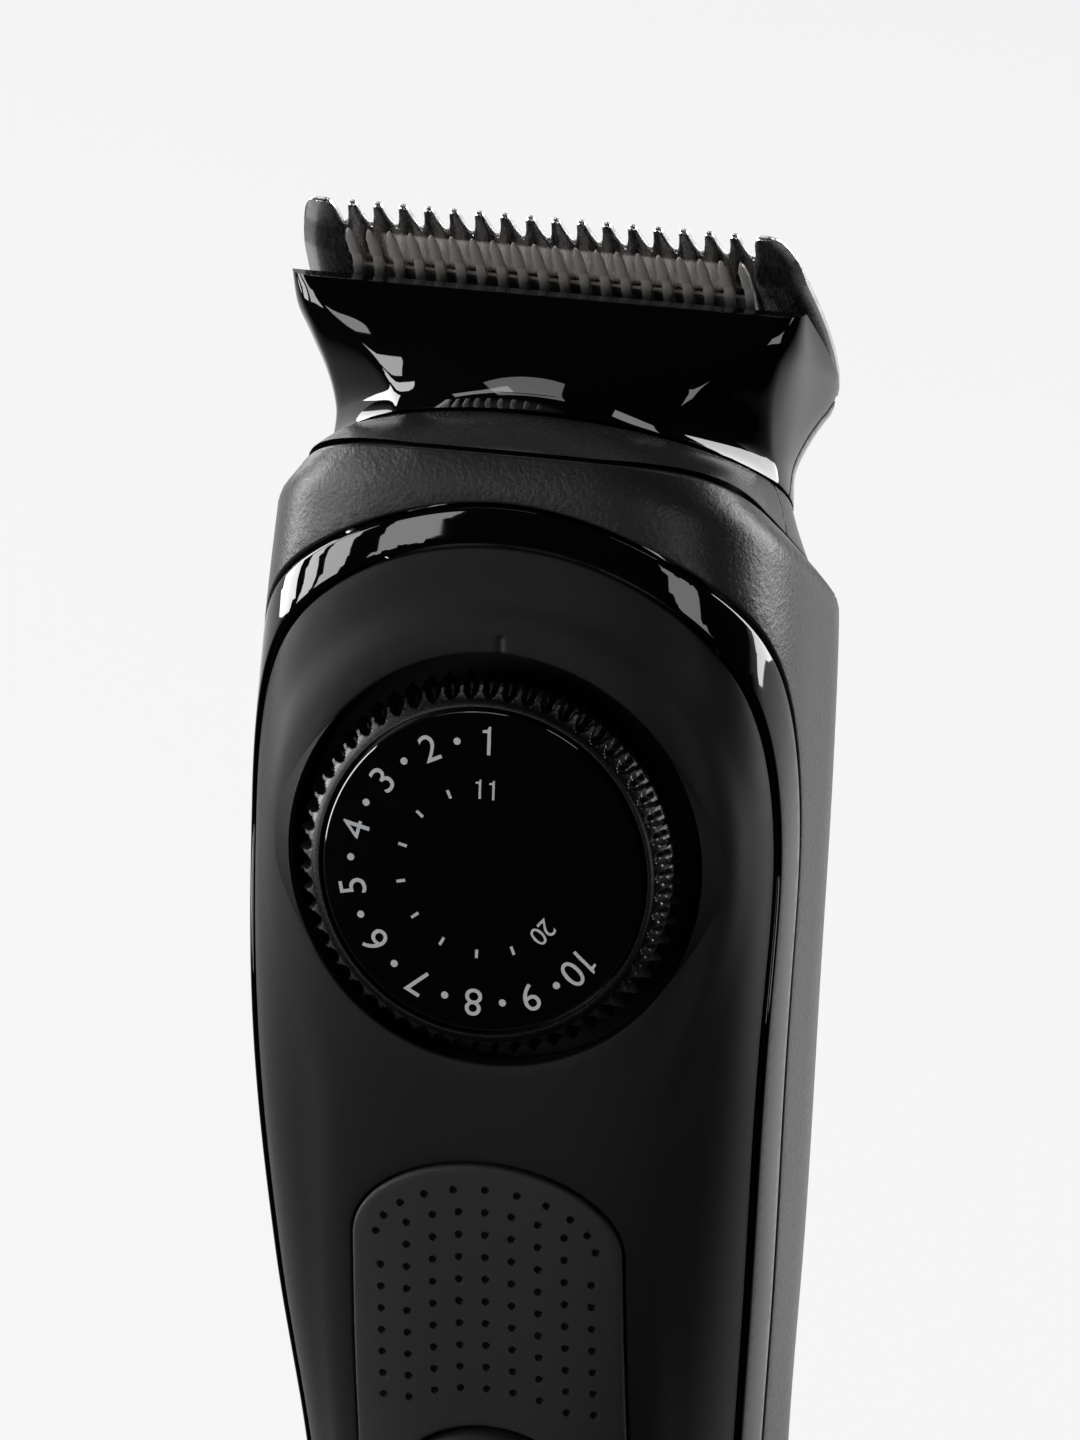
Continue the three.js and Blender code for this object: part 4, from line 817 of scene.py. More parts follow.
def skin_solid(lines, step, rim, lattice, wall, proud=0, relief=None, extra=None):
    """A closed wall of the body's skin over a half outline, mirrored about the middle."""
    flat, faces, away = flat_mesh(lines, step, rim, lattice, extra)
    surface, normal = skin(flat), skin_normals(flat)
    lift = proud - rounding(away, rim)
    if relief is not None:
        lift = lift + relief(flat)
    outer = surface + normal * lift[:, None]
    inner = surface - normal * wall
    back = np.abs(flat[:, 0] - np.interp(flat[:, 1], LEVELS, AROUND)) < 1e-4
    middle = (np.abs(flat[:, 0]) < SAME_POINT) | back
    return mirrored_solid(faces, outer, inner, middle)


# Shapes made with edit-mode operators
def new_piece(name):
    """An empty mesh object at the origin, active and in object mode."""
    piece = bpy.data.objects.new(name, bpy.data.meshes.new(name))
    bpy.context.scene.collection.objects.link(piece)
    only(piece)
    return piece


def spun(name, profile, place, steps):
    """Spins (radius, depth) points about the local depth axis; place turns local points into metres."""
    piece = new_piece(name)
    points = [place(radius, depth, 0) for radius, depth in profile]
    piece.data.from_pydata(points, [(i, i + 1) for i in range(len(points) - 1)], [])
    centre, tip = place(0, 0, 0), place(0, 1, 0)
    edit(piece)
    bpy.ops.mesh.spin(steps=steps, angle=math.tau, center=centre, axis=(tip - centre).normalized())
    bpy.ops.mesh.select_all(action="SELECT")
    bpy.ops.mesh.remove_doubles(threshold=1e-7)
    bpy.ops.mesh.normals_make_consistent(inside=False)
    done()
    return piece


def extruded(name, outline, place, low, high):
    """Fills an outline of local (across, up) points at one depth and extrudes it to another."""
    piece = new_piece(name)
    points = [place(across, low, up) for across, up in outline]
    count = len(points)
    piece.data.from_pydata(points, [(i, (i + 1) % count) for i in range(count)], [])
    edit(piece)
    bpy.ops.mesh.edge_face_add()
    push = place(0, high, 0) - place(0, low, 0)
    bpy.ops.mesh.extrude_region_move(TRANSFORM_OT_translate={"value": push})
    bpy.ops.mesh.select_all(action="SELECT")
    bpy.ops.mesh.normals_make_consistent(inside=False)
    done()
    return piece


def box_piece(name, low, high, place):
    """A box between two local corners."""
    bpy.ops.object.select_all(action="DESELECT")
    bpy.ops.mesh.primitive_cube_add(size=1, location=(0, 0, 0))
    piece = bpy.context.active_object
    piece.name = name
    for vertex in piece.data.vertices:
        spot = [low[axis] + (high[axis] - low[axis]) * (vertex.co[axis] + 0.5) for axis in range(3)]
        vertex.co = place(*spot)
    return recalculated(piece)


def combined(piece, tool, operation="DIFFERENCE"):
    """Applies an exact boolean with a tool piece and removes the tool."""
    change = piece.modifiers.new("Combine", "BOOLEAN")
    change.operation = operation
    change.solver = "EXACT"
    change.object = tool
    apply_modifiers(piece)
    bpy.data.objects.remove(tool)
    return piece


def copied(piece, name):
    made = bpy.data.objects.new(name, piece.data.copy())
    bpy.context.scene.collection.objects.link(made)
    return made


def merged(pieces, name):
    """Joins pieces into the first one."""
    bpy.ops.object.select_all(action="DESELECT")
    for piece in pieces:
        piece.select_set(True)
    bpy.context.view_layer.objects.active = pieces[0]
    if len(pieces) > 1:
        bpy.ops.object.join()
    pieces[0].name = name
    return pieces[0]


def bevelled(piece, width, segments=2, angle=30):
    bevel = piece.modifiers.new("Bevel", "BEVEL")
    bevel.width = width * MM
    bevel.segments = segments
    bevel.limit_method = "ANGLE"
    bevel.angle_limit = math.radians(angle)
    apply_modifiers(piece)
    return piece


# Local frames, in millimetres with depth along the body's Y, as points in metres
def body_place(x, y, z):
    return Vector((x * MM, y * MM + MIDDLE_Y, z * MM))


def dial_place(x, y, z):
    cos, sin = math.cos(DIAL_TILT), math.sin(DIAL_TILT)
    return body_place(x, DIAL_Y + y * cos + z * sin, DIAL_Z - y * sin + z * cos)


def blade_place(x, y, z):
    cos, sin = math.cos(BLADE_TILT), math.sin(BLADE_TILT)
    return body_place(x, TIP_Y + y * cos - z * sin, TIP_Z + y * sin + z * cos)


def blade_points(flat, depth):
    """Rows of body points for rows of blade (across, up) and their depths."""
    cos, sin = math.cos(BLADE_TILT), math.sin(BLADE_TILT)
    across, up = flat[:, 0], flat[:, 1]
    return np.stack([across, TIP_Y + depth * cos - up * sin, TIP_Z + depth * sin + up * cos], axis=1)


# Outlines on the skin
def arch_line(arch, gap):
    """A bezel edge, from the bottom up its limb and over the arch to the middle."""
    limb = []
    for height in np.arange(CASE_BOTTOM, ARCH_CENTRE + 0.1, FINE_EDGE_STEP):
        limb.append([round_at_y(-(ahead_at(height) + arch["ahead"]) - gap, height), height])
    side, rise = limb[-1][0], arch["top"] - gap - ARCH_CENTRE
    bend = []
    for angle in np.linspace(0, math.pi / 2, ARCH_STEPS)[1:]:
        across = side * math.cos(angle) ** (2 / arch["power"])
        bend.append([across, ARCH_CENTRE + rise * math.sin(angle) ** (2 / arch["power"])])
    bend[-1][0] = 0
    line = resampled(np.array(limb + bend), FINE_EDGE_STEP)
    mirrored = np.concatenate([line[:-1], (line * [-1, 1])[::-1]])
    line = eased(mirrored, ARCH_EASING)[:len(line)]
    line[-1, 0] = 0
    return line


def well_line(radius):
    """The round well's edge on the skin, from its top to its bottom."""
    line = []
    for angle in np.linspace(math.pi / 2, -math.pi / 2, WELL_STEPS):
        x, up = radius * math.cos(angle), radius * math.sin(angle)
        out = 0
        for _ in range(WELL_PASSES):
            height = DIAL_Z + up * math.cos(DIAL_TILT) - out * math.sin(DIAL_TILT)
            y = skin([[round_at_x(x, height), height]])[0, 1]
            out = (y - DIAL_Y - up * math.sin(DIAL_TILT)) / math.cos(DIAL_TILT)
        line.append([round_at_x(x, height), height])
    line[0][0] = line[-1][0] = 0
    return np.array(line)


def front_line(points):
    """A line given by x and height on the front, as distance round and height."""
    line = np.array([[round_at_x(x, height), height] for x, height in points])
    line[np.abs(np.array(points)[:, 0]) < 1e-9, 0] = 0
    return line


def pad_points(grow, steps=24):
    half = PAD_HALF_WIDTH + grow
    points = []
    for angle in np.linspace(math.pi / 2, 0, steps + 1):
        points.append((half * math.cos(angle), PAD_TOP - PAD_ARCH + (PAD_ARCH + grow) * math.sin(angle)))
    low = PAD_BOTTOM + PAD_HALF_WIDTH
    for angle in np.linspace(0, -math.pi / 2, steps + 1):
        points.append((half * math.cos(angle), low + half * math.sin(angle)))
    points[0] = (0, PAD_TOP + grow)
    points[-1] = (0, PAD_BOTTOM - grow)
    return points


def circle_points(radius, centre, steps=36):
    angles = np.linspace(math.pi / 2, -math.pi / 2, steps + 1)
    points = [(radius * math.cos(angle), centre + radius * math.sin(angle)) for angle in angles]
    points[0] = (0, centre + radius)
    points[-1] = (0, centre - radius)
    return points


def shoulder(y, lift=0):
    return SHOULDER_FRONT[1] + lift - SHOULDER_SLOPE * (y - SHOULDER_FRONT[0])


def shoulder_spot(share, lift):
    """Where the shoulder plane meets the skin, at a share of the way round from the front."""
    height = SHOULDER_START
    for _ in range(SHOULDER_PASSES):
        y = skin([[share * half_around(height), height]])[0, 1]
        height += SHOULDER_EASE * (shoulder(y, lift) - height)
    return share * half_around(height), height


def shoulder_line(lift):
    return np.array([shoulder_spot(share, lift) for share in np.linspace(1, 0, SHOULDER_STEPS)])


# Materials
def shader_group(name, inputs, outputs):
    group = bpy.data.node_groups.new(name, "ShaderNodeTree")
    for label, kind, value in inputs:
        socket = group.interface.new_socket(label, in_out="INPUT", socket_type=kind)
        socket.default_value = value
    for label, kind in outputs:
        group.interface.new_socket(label, in_out="OUTPUT", socket_type=kind)
    return group, group.nodes.new("NodeGroupInput"), group.nodes.new("NodeGroupOutput")


def add_node(nodes, kind, values=None, operation=None):
    """A shader node with its own values on some sockets."""
    node = nodes.new("ShaderNode" + kind)
    if operation:
        node.operation = operation
    for socket, value in (values or {}).items():
        node.inputs[socket].default_value = value
    return node


def fade_node(nodes, first, last, low=0, high=1):
    """A node that goes from low to high while its input goes from first to last."""
    return add_node(nodes, "MapRange", {"From Min": first, "From Max": last, "To Min": low, "To Max": high})


def grain_group():
    """Pitted mould texture: a height from noise and cells, and a mask from the noise."""
    name = "Mould Grain"
    if name in bpy.data.node_groups:
        return bpy.data.node_groups[name]
    group, given, out = shader_group(
        name,
        [("Scale", "NodeSocketFloat", 2600), ("Coarse", "NodeSocketFloat", 0.5)],
        [("Height", "NodeSocketFloat"), ("Mask", "NodeSocketFloat")],
    )
    nodes, link = group.nodes, group.links.new
    place = add_node(nodes, "TexCoord")
    fine = add_node(nodes, "TexNoise", {"Detail": 3, "Roughness": 0.6})
    cells = add_node(nodes, "TexVoronoi")
    cells.feature = "SMOOTH_F1"
    half = add_node(nodes, "Math", {1: 0.6}, "MULTIPLY")
    mix = add_node(nodes, "Mix")
    link(place.outputs["Object"], fine.inputs["Vector"])
    link(place.outputs["Object"], cells.inputs["Vector"])
    link(given.outputs["Scale"], fine.inputs["Scale"])
    link(given.outputs["Scale"], half.inputs[0])
    link(half.outputs[0], cells.inputs["Scale"])
    link(given.outputs["Coarse"], mix.inputs[0])
    link(fine.outputs[0], mix.inputs[2])
    link(cells.outputs["Distance"], mix.inputs[3])
    link(mix.outputs[0], out.inputs["Height"])
    link(fine.outputs[0], out.inputs["Mask"])
    return group


def brushed_group():
    """Fine ground lines running one way."""
    name = "Ground Lines"
    if name in bpy.data.node_groups:
        return bpy.data.node_groups[name]
    group, given, out = shader_group(
        name,
        [(f"Along {axis}", "NodeSocketFloat", 200) for axis in "XYZ"],
        [("Height", "NodeSocketFloat"), ("Mask", "NodeSocketFloat")],
    )
    nodes, link = group.nodes, group.links.new
    place = add_node(nodes, "TexCoord")
    scale = add_node(nodes, "CombineXYZ")
    stretch = add_node(nodes, "VectorMath", operation="MULTIPLY")
    noise = add_node(nodes, "TexNoise", {"Scale": 1, "Detail": 4})
    for axis in "XYZ":
        link(given.outputs[f"Along {axis}"], scale.inputs[axis])
    link(place.outputs["Object"], stretch.inputs[0])
    link(scale.outputs[0], stretch.inputs[1])
    link(stretch.outputs[0], noise.inputs["Vector"])
    link(noise.outputs[0], out.inputs["Height"])
    link(noise.outputs[0], out.inputs["Mask"])
    return group


def finish(given, key):
    """The finish of this key: one effect group drives a little roughness and the surface's bumps."""
    name, colour, roughness, metallic, scales, bump, depth, spread, specular = FINISHES[key]
    if name in bpy.data.materials:
        return bpy.data.materials[name]
    made = bpy.data.materials.new(name)
    made.use_nodes = True
    nodes, link = made.node_tree.nodes, made.node_tree.links.new
    shader = nodes["Principled BSDF"]
    colour = getattr(given, colour) if isinstance(colour, str) else colour
    shader.inputs["Base Color"].default_value = (*colour, 1)
    shader.inputs["Roughness"].default_value = roughness
    shader.inputs["Metallic"].default_value = metallic
    shader.inputs["Specular IOR Level"].default_value = specular
    grain = add_node(nodes, "Group")
    grain.node_tree = grain_group() if len(scales) == 2 else brushed_group()
    for socket, value in zip(grain.inputs, scales):
        socket.default_value = value
    bumps = add_node(nodes, "Bump", {"Strength": bump, "Distance": depth * MM})
    link(grain.outputs["Height"], bumps.inputs["Height"])
    link(bumps.outputs[0], shader.inputs["Normal"])
    span = fade_node(nodes, *ROUGHNESS_MASK, max(roughness - spread, 0.01), min(roughness + spread, 1))
    link(grain.outputs["Mask"], span.inputs[0])
    link(span.outputs[0], shader.inputs["Roughness"])
    return made


def band_group():
    """A mask that is 1 in a band across the blade, where the painted highlight goes, from its place along the
    teeth and across.
    """
    name = "Ground Band"
    if name in bpy.data.node_groups:
        return bpy.data.node_groups[name]
    group, _, out = shader_group(name, [], [("Mask", "NodeSocketFloat")])
    nodes, link = group.nodes, group.links.new
    place = add_node(nodes, "TexCoord")
    split = add_node(nodes, "SeparateXYZ")
    side = add_node(nodes, "Math", operation="ABSOLUTE")
    link(place.outputs["Object"], split.inputs[0])
    link(split.outputs["X"], side.inputs[0])

    def run_of(way):
        run = add_node(nodes, "VectorMath", {1: way}, "DOT_PRODUCT")
        link(place.outputs["Object"], run.inputs[0])
        return run.outputs["Value"], blade_place(0, 0, 0).dot(way)

    along, tip = run_of((blade_place(0, 0, 1) - blade_place(0, 0, 0)).normalized())
    inward, rear = run_of((blade_place(0, 1, 0) - blade_place(0, 0, 0)).normalized())
    limits = (
        (along, tip + BAND_TOP * MM, tip + (BAND_TOP - BAND_FADE) * MM),
        (along, tip + BAND_BOTTOM * MM, tip + (BAND_BOTTOM + 2 * BAND_FADE) * MM),
        (side.outputs[0], SHEEN_BAND_HALF_WIDTH * MM, (SHEEN_BAND_HALF_WIDTH - BAND_FADE) * MM),
        (inward, rear - TIP_THICKNESS / 2 * MM, rear - TIP_THICKNESS * MM),
    )
    whole = None
    for source, none, full in limits:
        fade = fade_node(nodes, none, full)
        link(source, fade.inputs[0])
        if whole is None:
            whole = fade
            continue
        both = add_node(nodes, "Math", operation="MULTIPLY")
        link(whole.outputs[0], both.inputs[0])
        link(fade.outputs[0], both.inputs[1])
        whole = both
    link(whole.outputs[0], out.inputs["Mask"])
    return group


def blade_finish(given):
    """The ground steel with a lighter, less metallic band painted on it as a highlight."""
    made = finish(given, "blade")
    nodes, link = made.node_tree.nodes, made.node_tree.links.new
    shader = nodes["Principled BSDF"]
    band = add_node(nodes, "Group")
    band.node_tree = band_group()
    # Painted highlight: inside the band the steel turns lighter and less metallic
    metal = fade_node(nodes, 0, 1, 1, SHEEN_BAND_METALLIC)
    colour = nodes.new("ShaderNodeMix")
    colour.data_type = "RGBA"
    ends = [socket for socket in colour.inputs if socket.type == "RGBA"]
    ends[0].default_value = (*given.steel_colour, 1)
    ends[1].default_value = SHEEN_BAND_COLOUR
    link(band.outputs["Mask"], metal.inputs[0])
    link(band.outputs["Mask"], colour.inputs[0])
    link(metal.outputs[0], shader.inputs["Metallic"])
    mixed = [socket for socket in colour.outputs if socket.type == "RGBA"][0]
    link(mixed, shader.inputs["Base Color"])
    return made


# Stage
def make_camera():
    data = bpy.data.cameras.new("Camera")
    camera = bpy.data.objects.new("Camera", data)
    bpy.context.scene.collection.objects.link(camera)
    data.sensor_width = SENSOR_WIDTH
    data.lens = data.sensor_width * CAMERA_DISTANCE / PICTURE_HEIGHT
    data.clip_start = 0.05
    data.clip_end = 20
    flat = math.cos(PHOTO_ELEVATION)
    right, ahead = math.sin(PHOTO_AZIMUTH) * flat, -math.cos(PHOTO_AZIMUTH) * flat
    back = Vector((right, ahead, math.sin(PHOTO_ELEVATION)))
    camera.location = body_place(*LOOK_AT) + back * CAMERA_DISTANCE
    camera.rotation_mode = "QUATERNION"
    camera.rotation_quaternion = (-back).to_track_quat("-Z", "Y")
    bpy.context.scene.camera = camera


def area_light(name, place, target, size, power):
    data = bpy.data.lights.new(name, "AREA")
    data.shape = "RECTANGLE"
    data.size, data.size_y = size
    data.energy = power
    lamp = bpy.data.objects.new(name, data)
    bpy.context.scene.collection.objects.link(lamp)
    lamp.location = place
    lamp.rotation_mode = "QUATERNION"
    lamp.rotation_quaternion = (Vector(target) - Vector(place)).to_track_quat("-Z", "Y")
    return lamp


def lamp_power(brightness, size):
    """Watts that give a rectangle of this size a brightness, where 1 shows as white."""
    return brightness * math.pi * size[0] * size[1]


def make_floor(given):
    """A floor that keeps shadows, is pale to the camera, and is dark in front in reflections."""
    bpy.ops.object.select_all(action="DESELECT")
    bpy.ops.mesh.primitive_plane_add(size=FLOOR_SIZE, location=(0, 0, 0))
    floor = bpy.context.active_object
    floor.name = "floor"
    look = bpy.data.materials.new("Pale Floor")
    look.use_nodes = True
    nodes, link = look.node_tree.nodes, look.node_tree.links.new
    nodes.clear()
    pale = (given.background, given.background, given.background, 1)
    out = add_node(nodes, "OutputMaterial")
    diffuse = add_node(nodes, "BsdfDiffuse", {"Color": FLOOR_COLOUR})
    glow = add_node(nodes, "Emission", {"Color": pale})
    mirrored = add_node(nodes, "Emission", {"Color": pale})
    path = add_node(nodes, "LightPath")
    seen = add_node(nodes, "Math", {1: FLOOR_SEEN_SHARE}, "MULTIPLY")
    place = add_node(nodes, "TexCoord")
    split = add_node(nodes, "SeparateXYZ")
    behind = fade_node(nodes, *FLOOR_FADE, 0, FLOOR_FADE_TO)
    both = add_node(nodes, "AddShader")
    either = add_node(nodes, "MixShader")
    link(place.outputs["Object"], split.inputs[0])
    link(split.outputs["Y"], behind.inputs[0])
    link(path.outputs["Is Camera Ray"], seen.inputs[0])
    link(seen.outputs[0], glow.inputs["Strength"])
    link(behind.outputs[0], mirrored.inputs["Strength"])
    link(diffuse.outputs[0], both.inputs[0])
    link(glow.outputs[0], both.inputs[1])
    link(path.outputs["Is Glossy Ray"], either.inputs[0])
    link(both.outputs[0], either.inputs[1])
    link(mirrored.outputs[0], either.inputs[2])
    link(either.outputs[0], out.inputs["Surface"])
    floor.data.materials.append(look)


def make_world(given):
    """A backdrop that is pale to the camera and dark in front in reflections."""
    world = bpy.data.worlds.new("Studio")
    bpy.context.scene.world = world
    world.use_nodes = True
    nodes, link = world.node_tree.nodes, world.node_tree.links.new
    back = nodes["Background"]
    back.inputs["Color"].default_value = (1, 1, 1, 1)
    path = add_node(nodes, "LightPath")
    place = add_node(nodes, "TexCoord")
    split = add_node(nodes, "SeparateXYZ")
    behind = fade_node(nodes, *WORLD_FADE, WORLD_DARK, given.background)
    pick = add_node(nodes, "Mix", {3: given.background})
    link(place.outputs["Generated"], split.inputs[0])
    link(split.outputs["Y"], behind.inputs[0])
    link(path.outputs["Is Camera Ray"], pick.inputs[0])
    link(behind.outputs[0], pick.inputs[2])
    link(pick.outputs[0], back.inputs["Strength"])


def make_lamps():
    for number, (turn, spread, low, high, brightness) in enumerate(STRIPS):
        angle = math.radians(turn)
        place = (math.sin(angle) * STRIP_DISTANCE, -math.cos(angle) * STRIP_DISTANCE, (low + high) / 2)
        size = (STRIP_DISTANCE * math.radians(spread), high - low)
        area_light(f"strip_{number}", place, (0, 0, place[2]), size, lamp_power(brightness, size))
    for number, (place, size, brightness) in enumerate(CEILING):
        area_light(f"ceiling_{number}", place, (0, 0, 0.12), size, lamp_power(brightness, size))


def make_stage(given):
    make_camera()
    make_floor(given)
    make_world(given)
    make_lamps()
    bpy.context.scene.view_settings.view_transform = "Standard"


# Body pieces
def panel_relief(flat):
    """The panel's raised middle, round about the dial and narrowing to a band, and the pointer groove."""
    x, height = flat[:, 0], flat[:, 1]
    field = FIELD_RADIUS - np.hypot(x, height - DIAL_Z)
    band = np.where(height > DIAL_Z, NO_BAND, BAND_HALF_WIDTH - np.abs(x))
    mix = np.clip(0.5 + 0.5 * (field - band) / FIELD_BLEND, 0, 1)
    joined = field * mix + band * (1 - mix) + FIELD_BLEND * mix * (1 - mix)
    share = np.clip((joined + FIELD_EDGE) / FIELD_RUN, 0, 1)
    ends = np.clip((height - POINTER[0]) / POINTER_END, 0, 1)
    ends = ends * np.clip((POINTER[1] - height) / POINTER_END, 0, 1)
    groove = POINTER_DEPTH * np.exp(-(x / POINTER_HALF_WIDTH) ** 2) * ends
    return -FIELD_STEP * (1 - smooth_step(share)) - groove


def pointer_points():
    xs = np.concatenate([[0], np.linspace(0.06, 0.9, 10)])
    heights = np.arange(POINTER[0] - 0.5, POINTER[1] + 0.6, 0.12)
    return np.array([[x, height] for height in heights for x in xs])


def make_front_panel(given):
    edge = arch_line(INNER_ARCH, SEAM)
    well = well_line(WELL_RADIUS)
    pad = front_line(pad_points(PAD_GAP))
    light = front_line(circle_points(LIGHT_RADIUS + LIGHT_GAP, LIGHT_Z))
    lines = [
        ([(0, CASE_BOTTOM), edge[0]], True),
        (edge, True),
        ([edge[-1], well[0]], False),
        (well, True),
        ([well[-1], pad[0]], False),
        (pad, True),
        ([pad[-1], light[0]], False),
        (light, True),
        ([light[-1], (0, CASE_BOTTOM)], False),
    ]
    verts, faces = skin_solid(
        lines, EDGE_STEP, RIM, LATTICE, SKIN_WALL, relief=panel_relief, extra=pointer_points())
    matte = finish(given, "matte")
    piece_from("front_panel_cover", verts, faces, "case", matte, ["front_panel"], 50)
    clear, wide, back = WELL_RADIUS + WELL_CLEAR, WELL_RADIUS + WELL_WALL, WELL_DEPTH + WELL_WALL
    cup = [
        (clear, WELL_TOP), (clear, WELL_DEPTH), (AXLE_HOLE_RADIUS, WELL_DEPTH), (AXLE_HOLE_RADIUS, back),
        (wide, back), (wide, WELL_LEDGE), (clear, WELL_TOP),
    ]
    well_cup = spun("dial_well_cup", cup, dial_place, 96)
    finish_piece(well_cup, "case", finish(given, "well"), (), 40)


def make_bezel(given):
    outer = arch_line(OUTER_ARCH, SEAM)
    inner = arch_line(INNER_ARCH, 0)
    lines = [
        ([inner[0], outer[0]], True),
        (outer, True),
        ([outer[-1], inner[-1]], False),
        (inner[::-1], True),
    ]
    verts, faces = skin_solid(lines, FINE_EDGE_STEP, BEZEL_RIM, BEZEL_LATTICE, SKIN_WALL)
    gloss = finish(given, "gloss")
    piece_from("bezel_arch", verts, faces, "case", gloss, ["bezel_trim"], 60)


def turn_in(share):
    """The collar's inset from the skin at a share of the way round."""
    rise = np.clip((np.asarray(share) - TURN_IN_START_SHARE) / TURN_IN_RUN_SHARE, 0, 1) ** TURN_IN_ROUND_POWER
    return TURN_IN_FRONT + (TURN_IN_SIDE - TURN_IN_FRONT) * rise


def shoulder_relief(flat):
    """Leans the skin inward towards the slanted top."""
    share = np.abs(flat[:, 0]) / np.interp(flat[:, 1], LEVELS, AROUND)
    tops = shoulder_line(0)[::-1]
    below = np.interp(share, np.linspace(0, 1, len(tops)), tops[:, 1]) - flat[:, 1]
    return -turn_in(share) * np.clip(1 - below / TURN_IN_DEPTH, 0, 1) ** TURN_IN_RISE_POWER


def make_rear_shell(given):
    edge = arch_line(OUTER_ARCH, 0)
    top = shoulder_line(-SEAM)
    bottom = half_around(CASE_BOTTOM)
    lines = [
        ([edge[0], (bottom, CASE_BOTTOM)], True),
        ([(half_around(h), h) for h in np.linspace(CASE_BOTTOM, top[0][1], SHELL_BACK_STEPS)], False),
        (top, True),
        ([top[-1], edge[-1]], False),
        (edge[::-1], True),
    ]
    verts, faces = skin_solid(lines, EDGE_STEP, RIM, LATTICE, SKIN_WALL, relief=shoulder_relief)
    satin = finish(given, "housing")
    piece = piece_from("rear_shell_cover", verts, faces, "case", satin, ["rear_shell"], 50)
    combined(piece, box_piece("slot", *HOOK_SLOT, dial_place))
    smoothed(piece, 50)


# Grip pad
def dimple_spots(given):
    """An arch of dimples under the pad's round top and straight columns that start under it."""
    pitch = given.dimple_pitch / MM
    row_pitch = pitch * ROW_SHARE
    half, base = PAD_HALF_WIDTH - ARCH_INSET, PAD_TOP - PAD_ARCH
    spots = []
    for angle in np.linspace(ARCH_END, math.pi - ARCH_END, ARCH_DOTS):
        spots.append((half * math.cos(angle), base + (PAD_ARCH - ARCH_INSET) * math.sin(angle)))
    columns = int(half / pitch)
    for column in range(-columns, columns + 1):
        x = column * pitch
        height = base + (PAD_ARCH - ARCH_INSET) * math.sqrt(1 - (x / half) ** 2) - row_pitch
        if abs(column) == columns:
            height -= row_pitch
        while height > BUTTON_Z + BUTTON_RADIUS + ARCH_INSET:
            spots.append((x, height))
            height -= row_pitch
    return spots


def dimple_points(spots, radius):
    """Points that draw each dimple of the right half: its middle and four rings."""
    points = []
    for across, height in spots:
        if across < -radius:
            continue
        points.append((max(across, 0), height))
        for share in DIMPLE_RING_SHARES:
            for angle in np.arange(DIMPLE_STEPS) / DIMPLE_STEPS * math.tau:
                x, up = radius * share * math.cos(angle) + across, radius * share * math.sin(angle)
                if x > -SAME_POINT:
                    points.append((x if x > SAME_POINT else 0, height + up))
    return np.array(points)


def make_grip_pad(given):
    pad = front_line(pad_points(0))
    hole = front_line(circle_points(BUTTON_RADIUS + BUTTON_GAP, BUTTON_Z))
    lines = [
        (pad, True),
        ([pad[-1], hole[-1]], False),
        (hole[::-1], True),
        ([hole[0], pad[0]], False),
    ]
    radius, depth = given.dimple_radius / MM, given.dimple_depth / MM
    spots = np.array(dimple_spots(given))
    around = np.array(front_line(np.abs(spots)))
    spots[:, 0] = np.sign(spots[:, 0]) * around[:, 0]

    def dimples(flat):
        lift = np.zeros(len(flat))
        for across, height in spots:
            near = np.hypot(flat[:, 0] - across, flat[:, 1] - height) / radius
            lift -= depth * np.clip((1 - near) / DIMPLE_WALL_SHARE, 0, 1) ** DIMPLE_POWER
        return lift

    extra = dimple_points(spots, radius)
    verts, faces = skin_solid(
        lines, PAD_EDGE_STEP, PAD_RIM, PAD_LATTICE, PAD_WALL, PAD_PROUD, dimples, extra)
    rubber = finish(given, "rubber")
    piece_from("grip_pad_skin", verts, faces, "case", rubber, ["grip_pad"], 60)


# Rings stacked into a closed wall
def ring_mesh(rings, closed_section=True, capped=False):
    """Faces over rings of equal count; a closed section joins the last ring back to the first."""
    count = len(rings[0])
    verts = [tuple(point) for ring in rings for point in ring]
    faces = []
    last = len(rings) if closed_section else len(rings) - 1
    for level in range(last):
        low, high = level * count, ((level + 1) % len(rings)) * count
        for step in range(count):
            following = (step + 1) % count
            faces.append((low + step, low + following, high + following, high + step))
    if capped:
        faces.append(tuple(range(count))[::-1])
        faces.append(tuple(range((len(rings) - 1) * count, len(rings) * count)))
    return verts, faces


def skin_ring(spot_at, inset, steps):
    """A ring round the whole skin from a function of the share round from the front."""
    ring = []
    for step in range(steps):
        share = step / steps * 2
        mirrored = share > 1
        share = 2 - share if mirrored else share
        spot = [spot_at(share)]
        depth = inset(share) if callable(inset) else inset
        point = skin(spot)[0] - skin_normals(spot)[0] * depth * [1, 1, 0]
        ring.append((-point[0] if mirrored else point[0], point[1], spot[0][1]))
    return np.array(ring)


def shoulder_ring(lift, inset, steps=COLLAR_STEPS):
    return skin_ring(lambda share: shoulder_spot(share, lift), inset, steps)


def level_ring(height, inset):
    return skin_ring(lambda share: (share * half_around(height), height), inset, COLLAR_STEPS)


def neck_ring_for(ring, lift, inset):
    """The neck's ellipse, point for point with a ring of the shoulder."""
    front, back = np.array(NECK_FRONT), np.array(NECK_BACK)
    middle, along = (front + back) / 2, (back - front)
    half = np.linalg.norm(along) / 2 - inset
    along = along / np.linalg.norm(along)
    y_low, y_high = ring[:, 1].min(), ring[:, 1].max()
    wide = ring[:, 0].max()
    angle = np.arctan2(ring[:, 0] / wide, -(ring[:, 1] - (y_low + y_high) / 2) / ((y_high - y_low) / 2))
    made = np.zeros_like(ring)
    made[:, 0] = (NECK_HALF_WIDTH - inset) * np.sin(angle)
    made[:, 1] = middle[0] - along[0] * half * np.cos(angle)
    made[:, 2] = middle[1] - along[1] * half * np.cos(angle) + lift
    return made


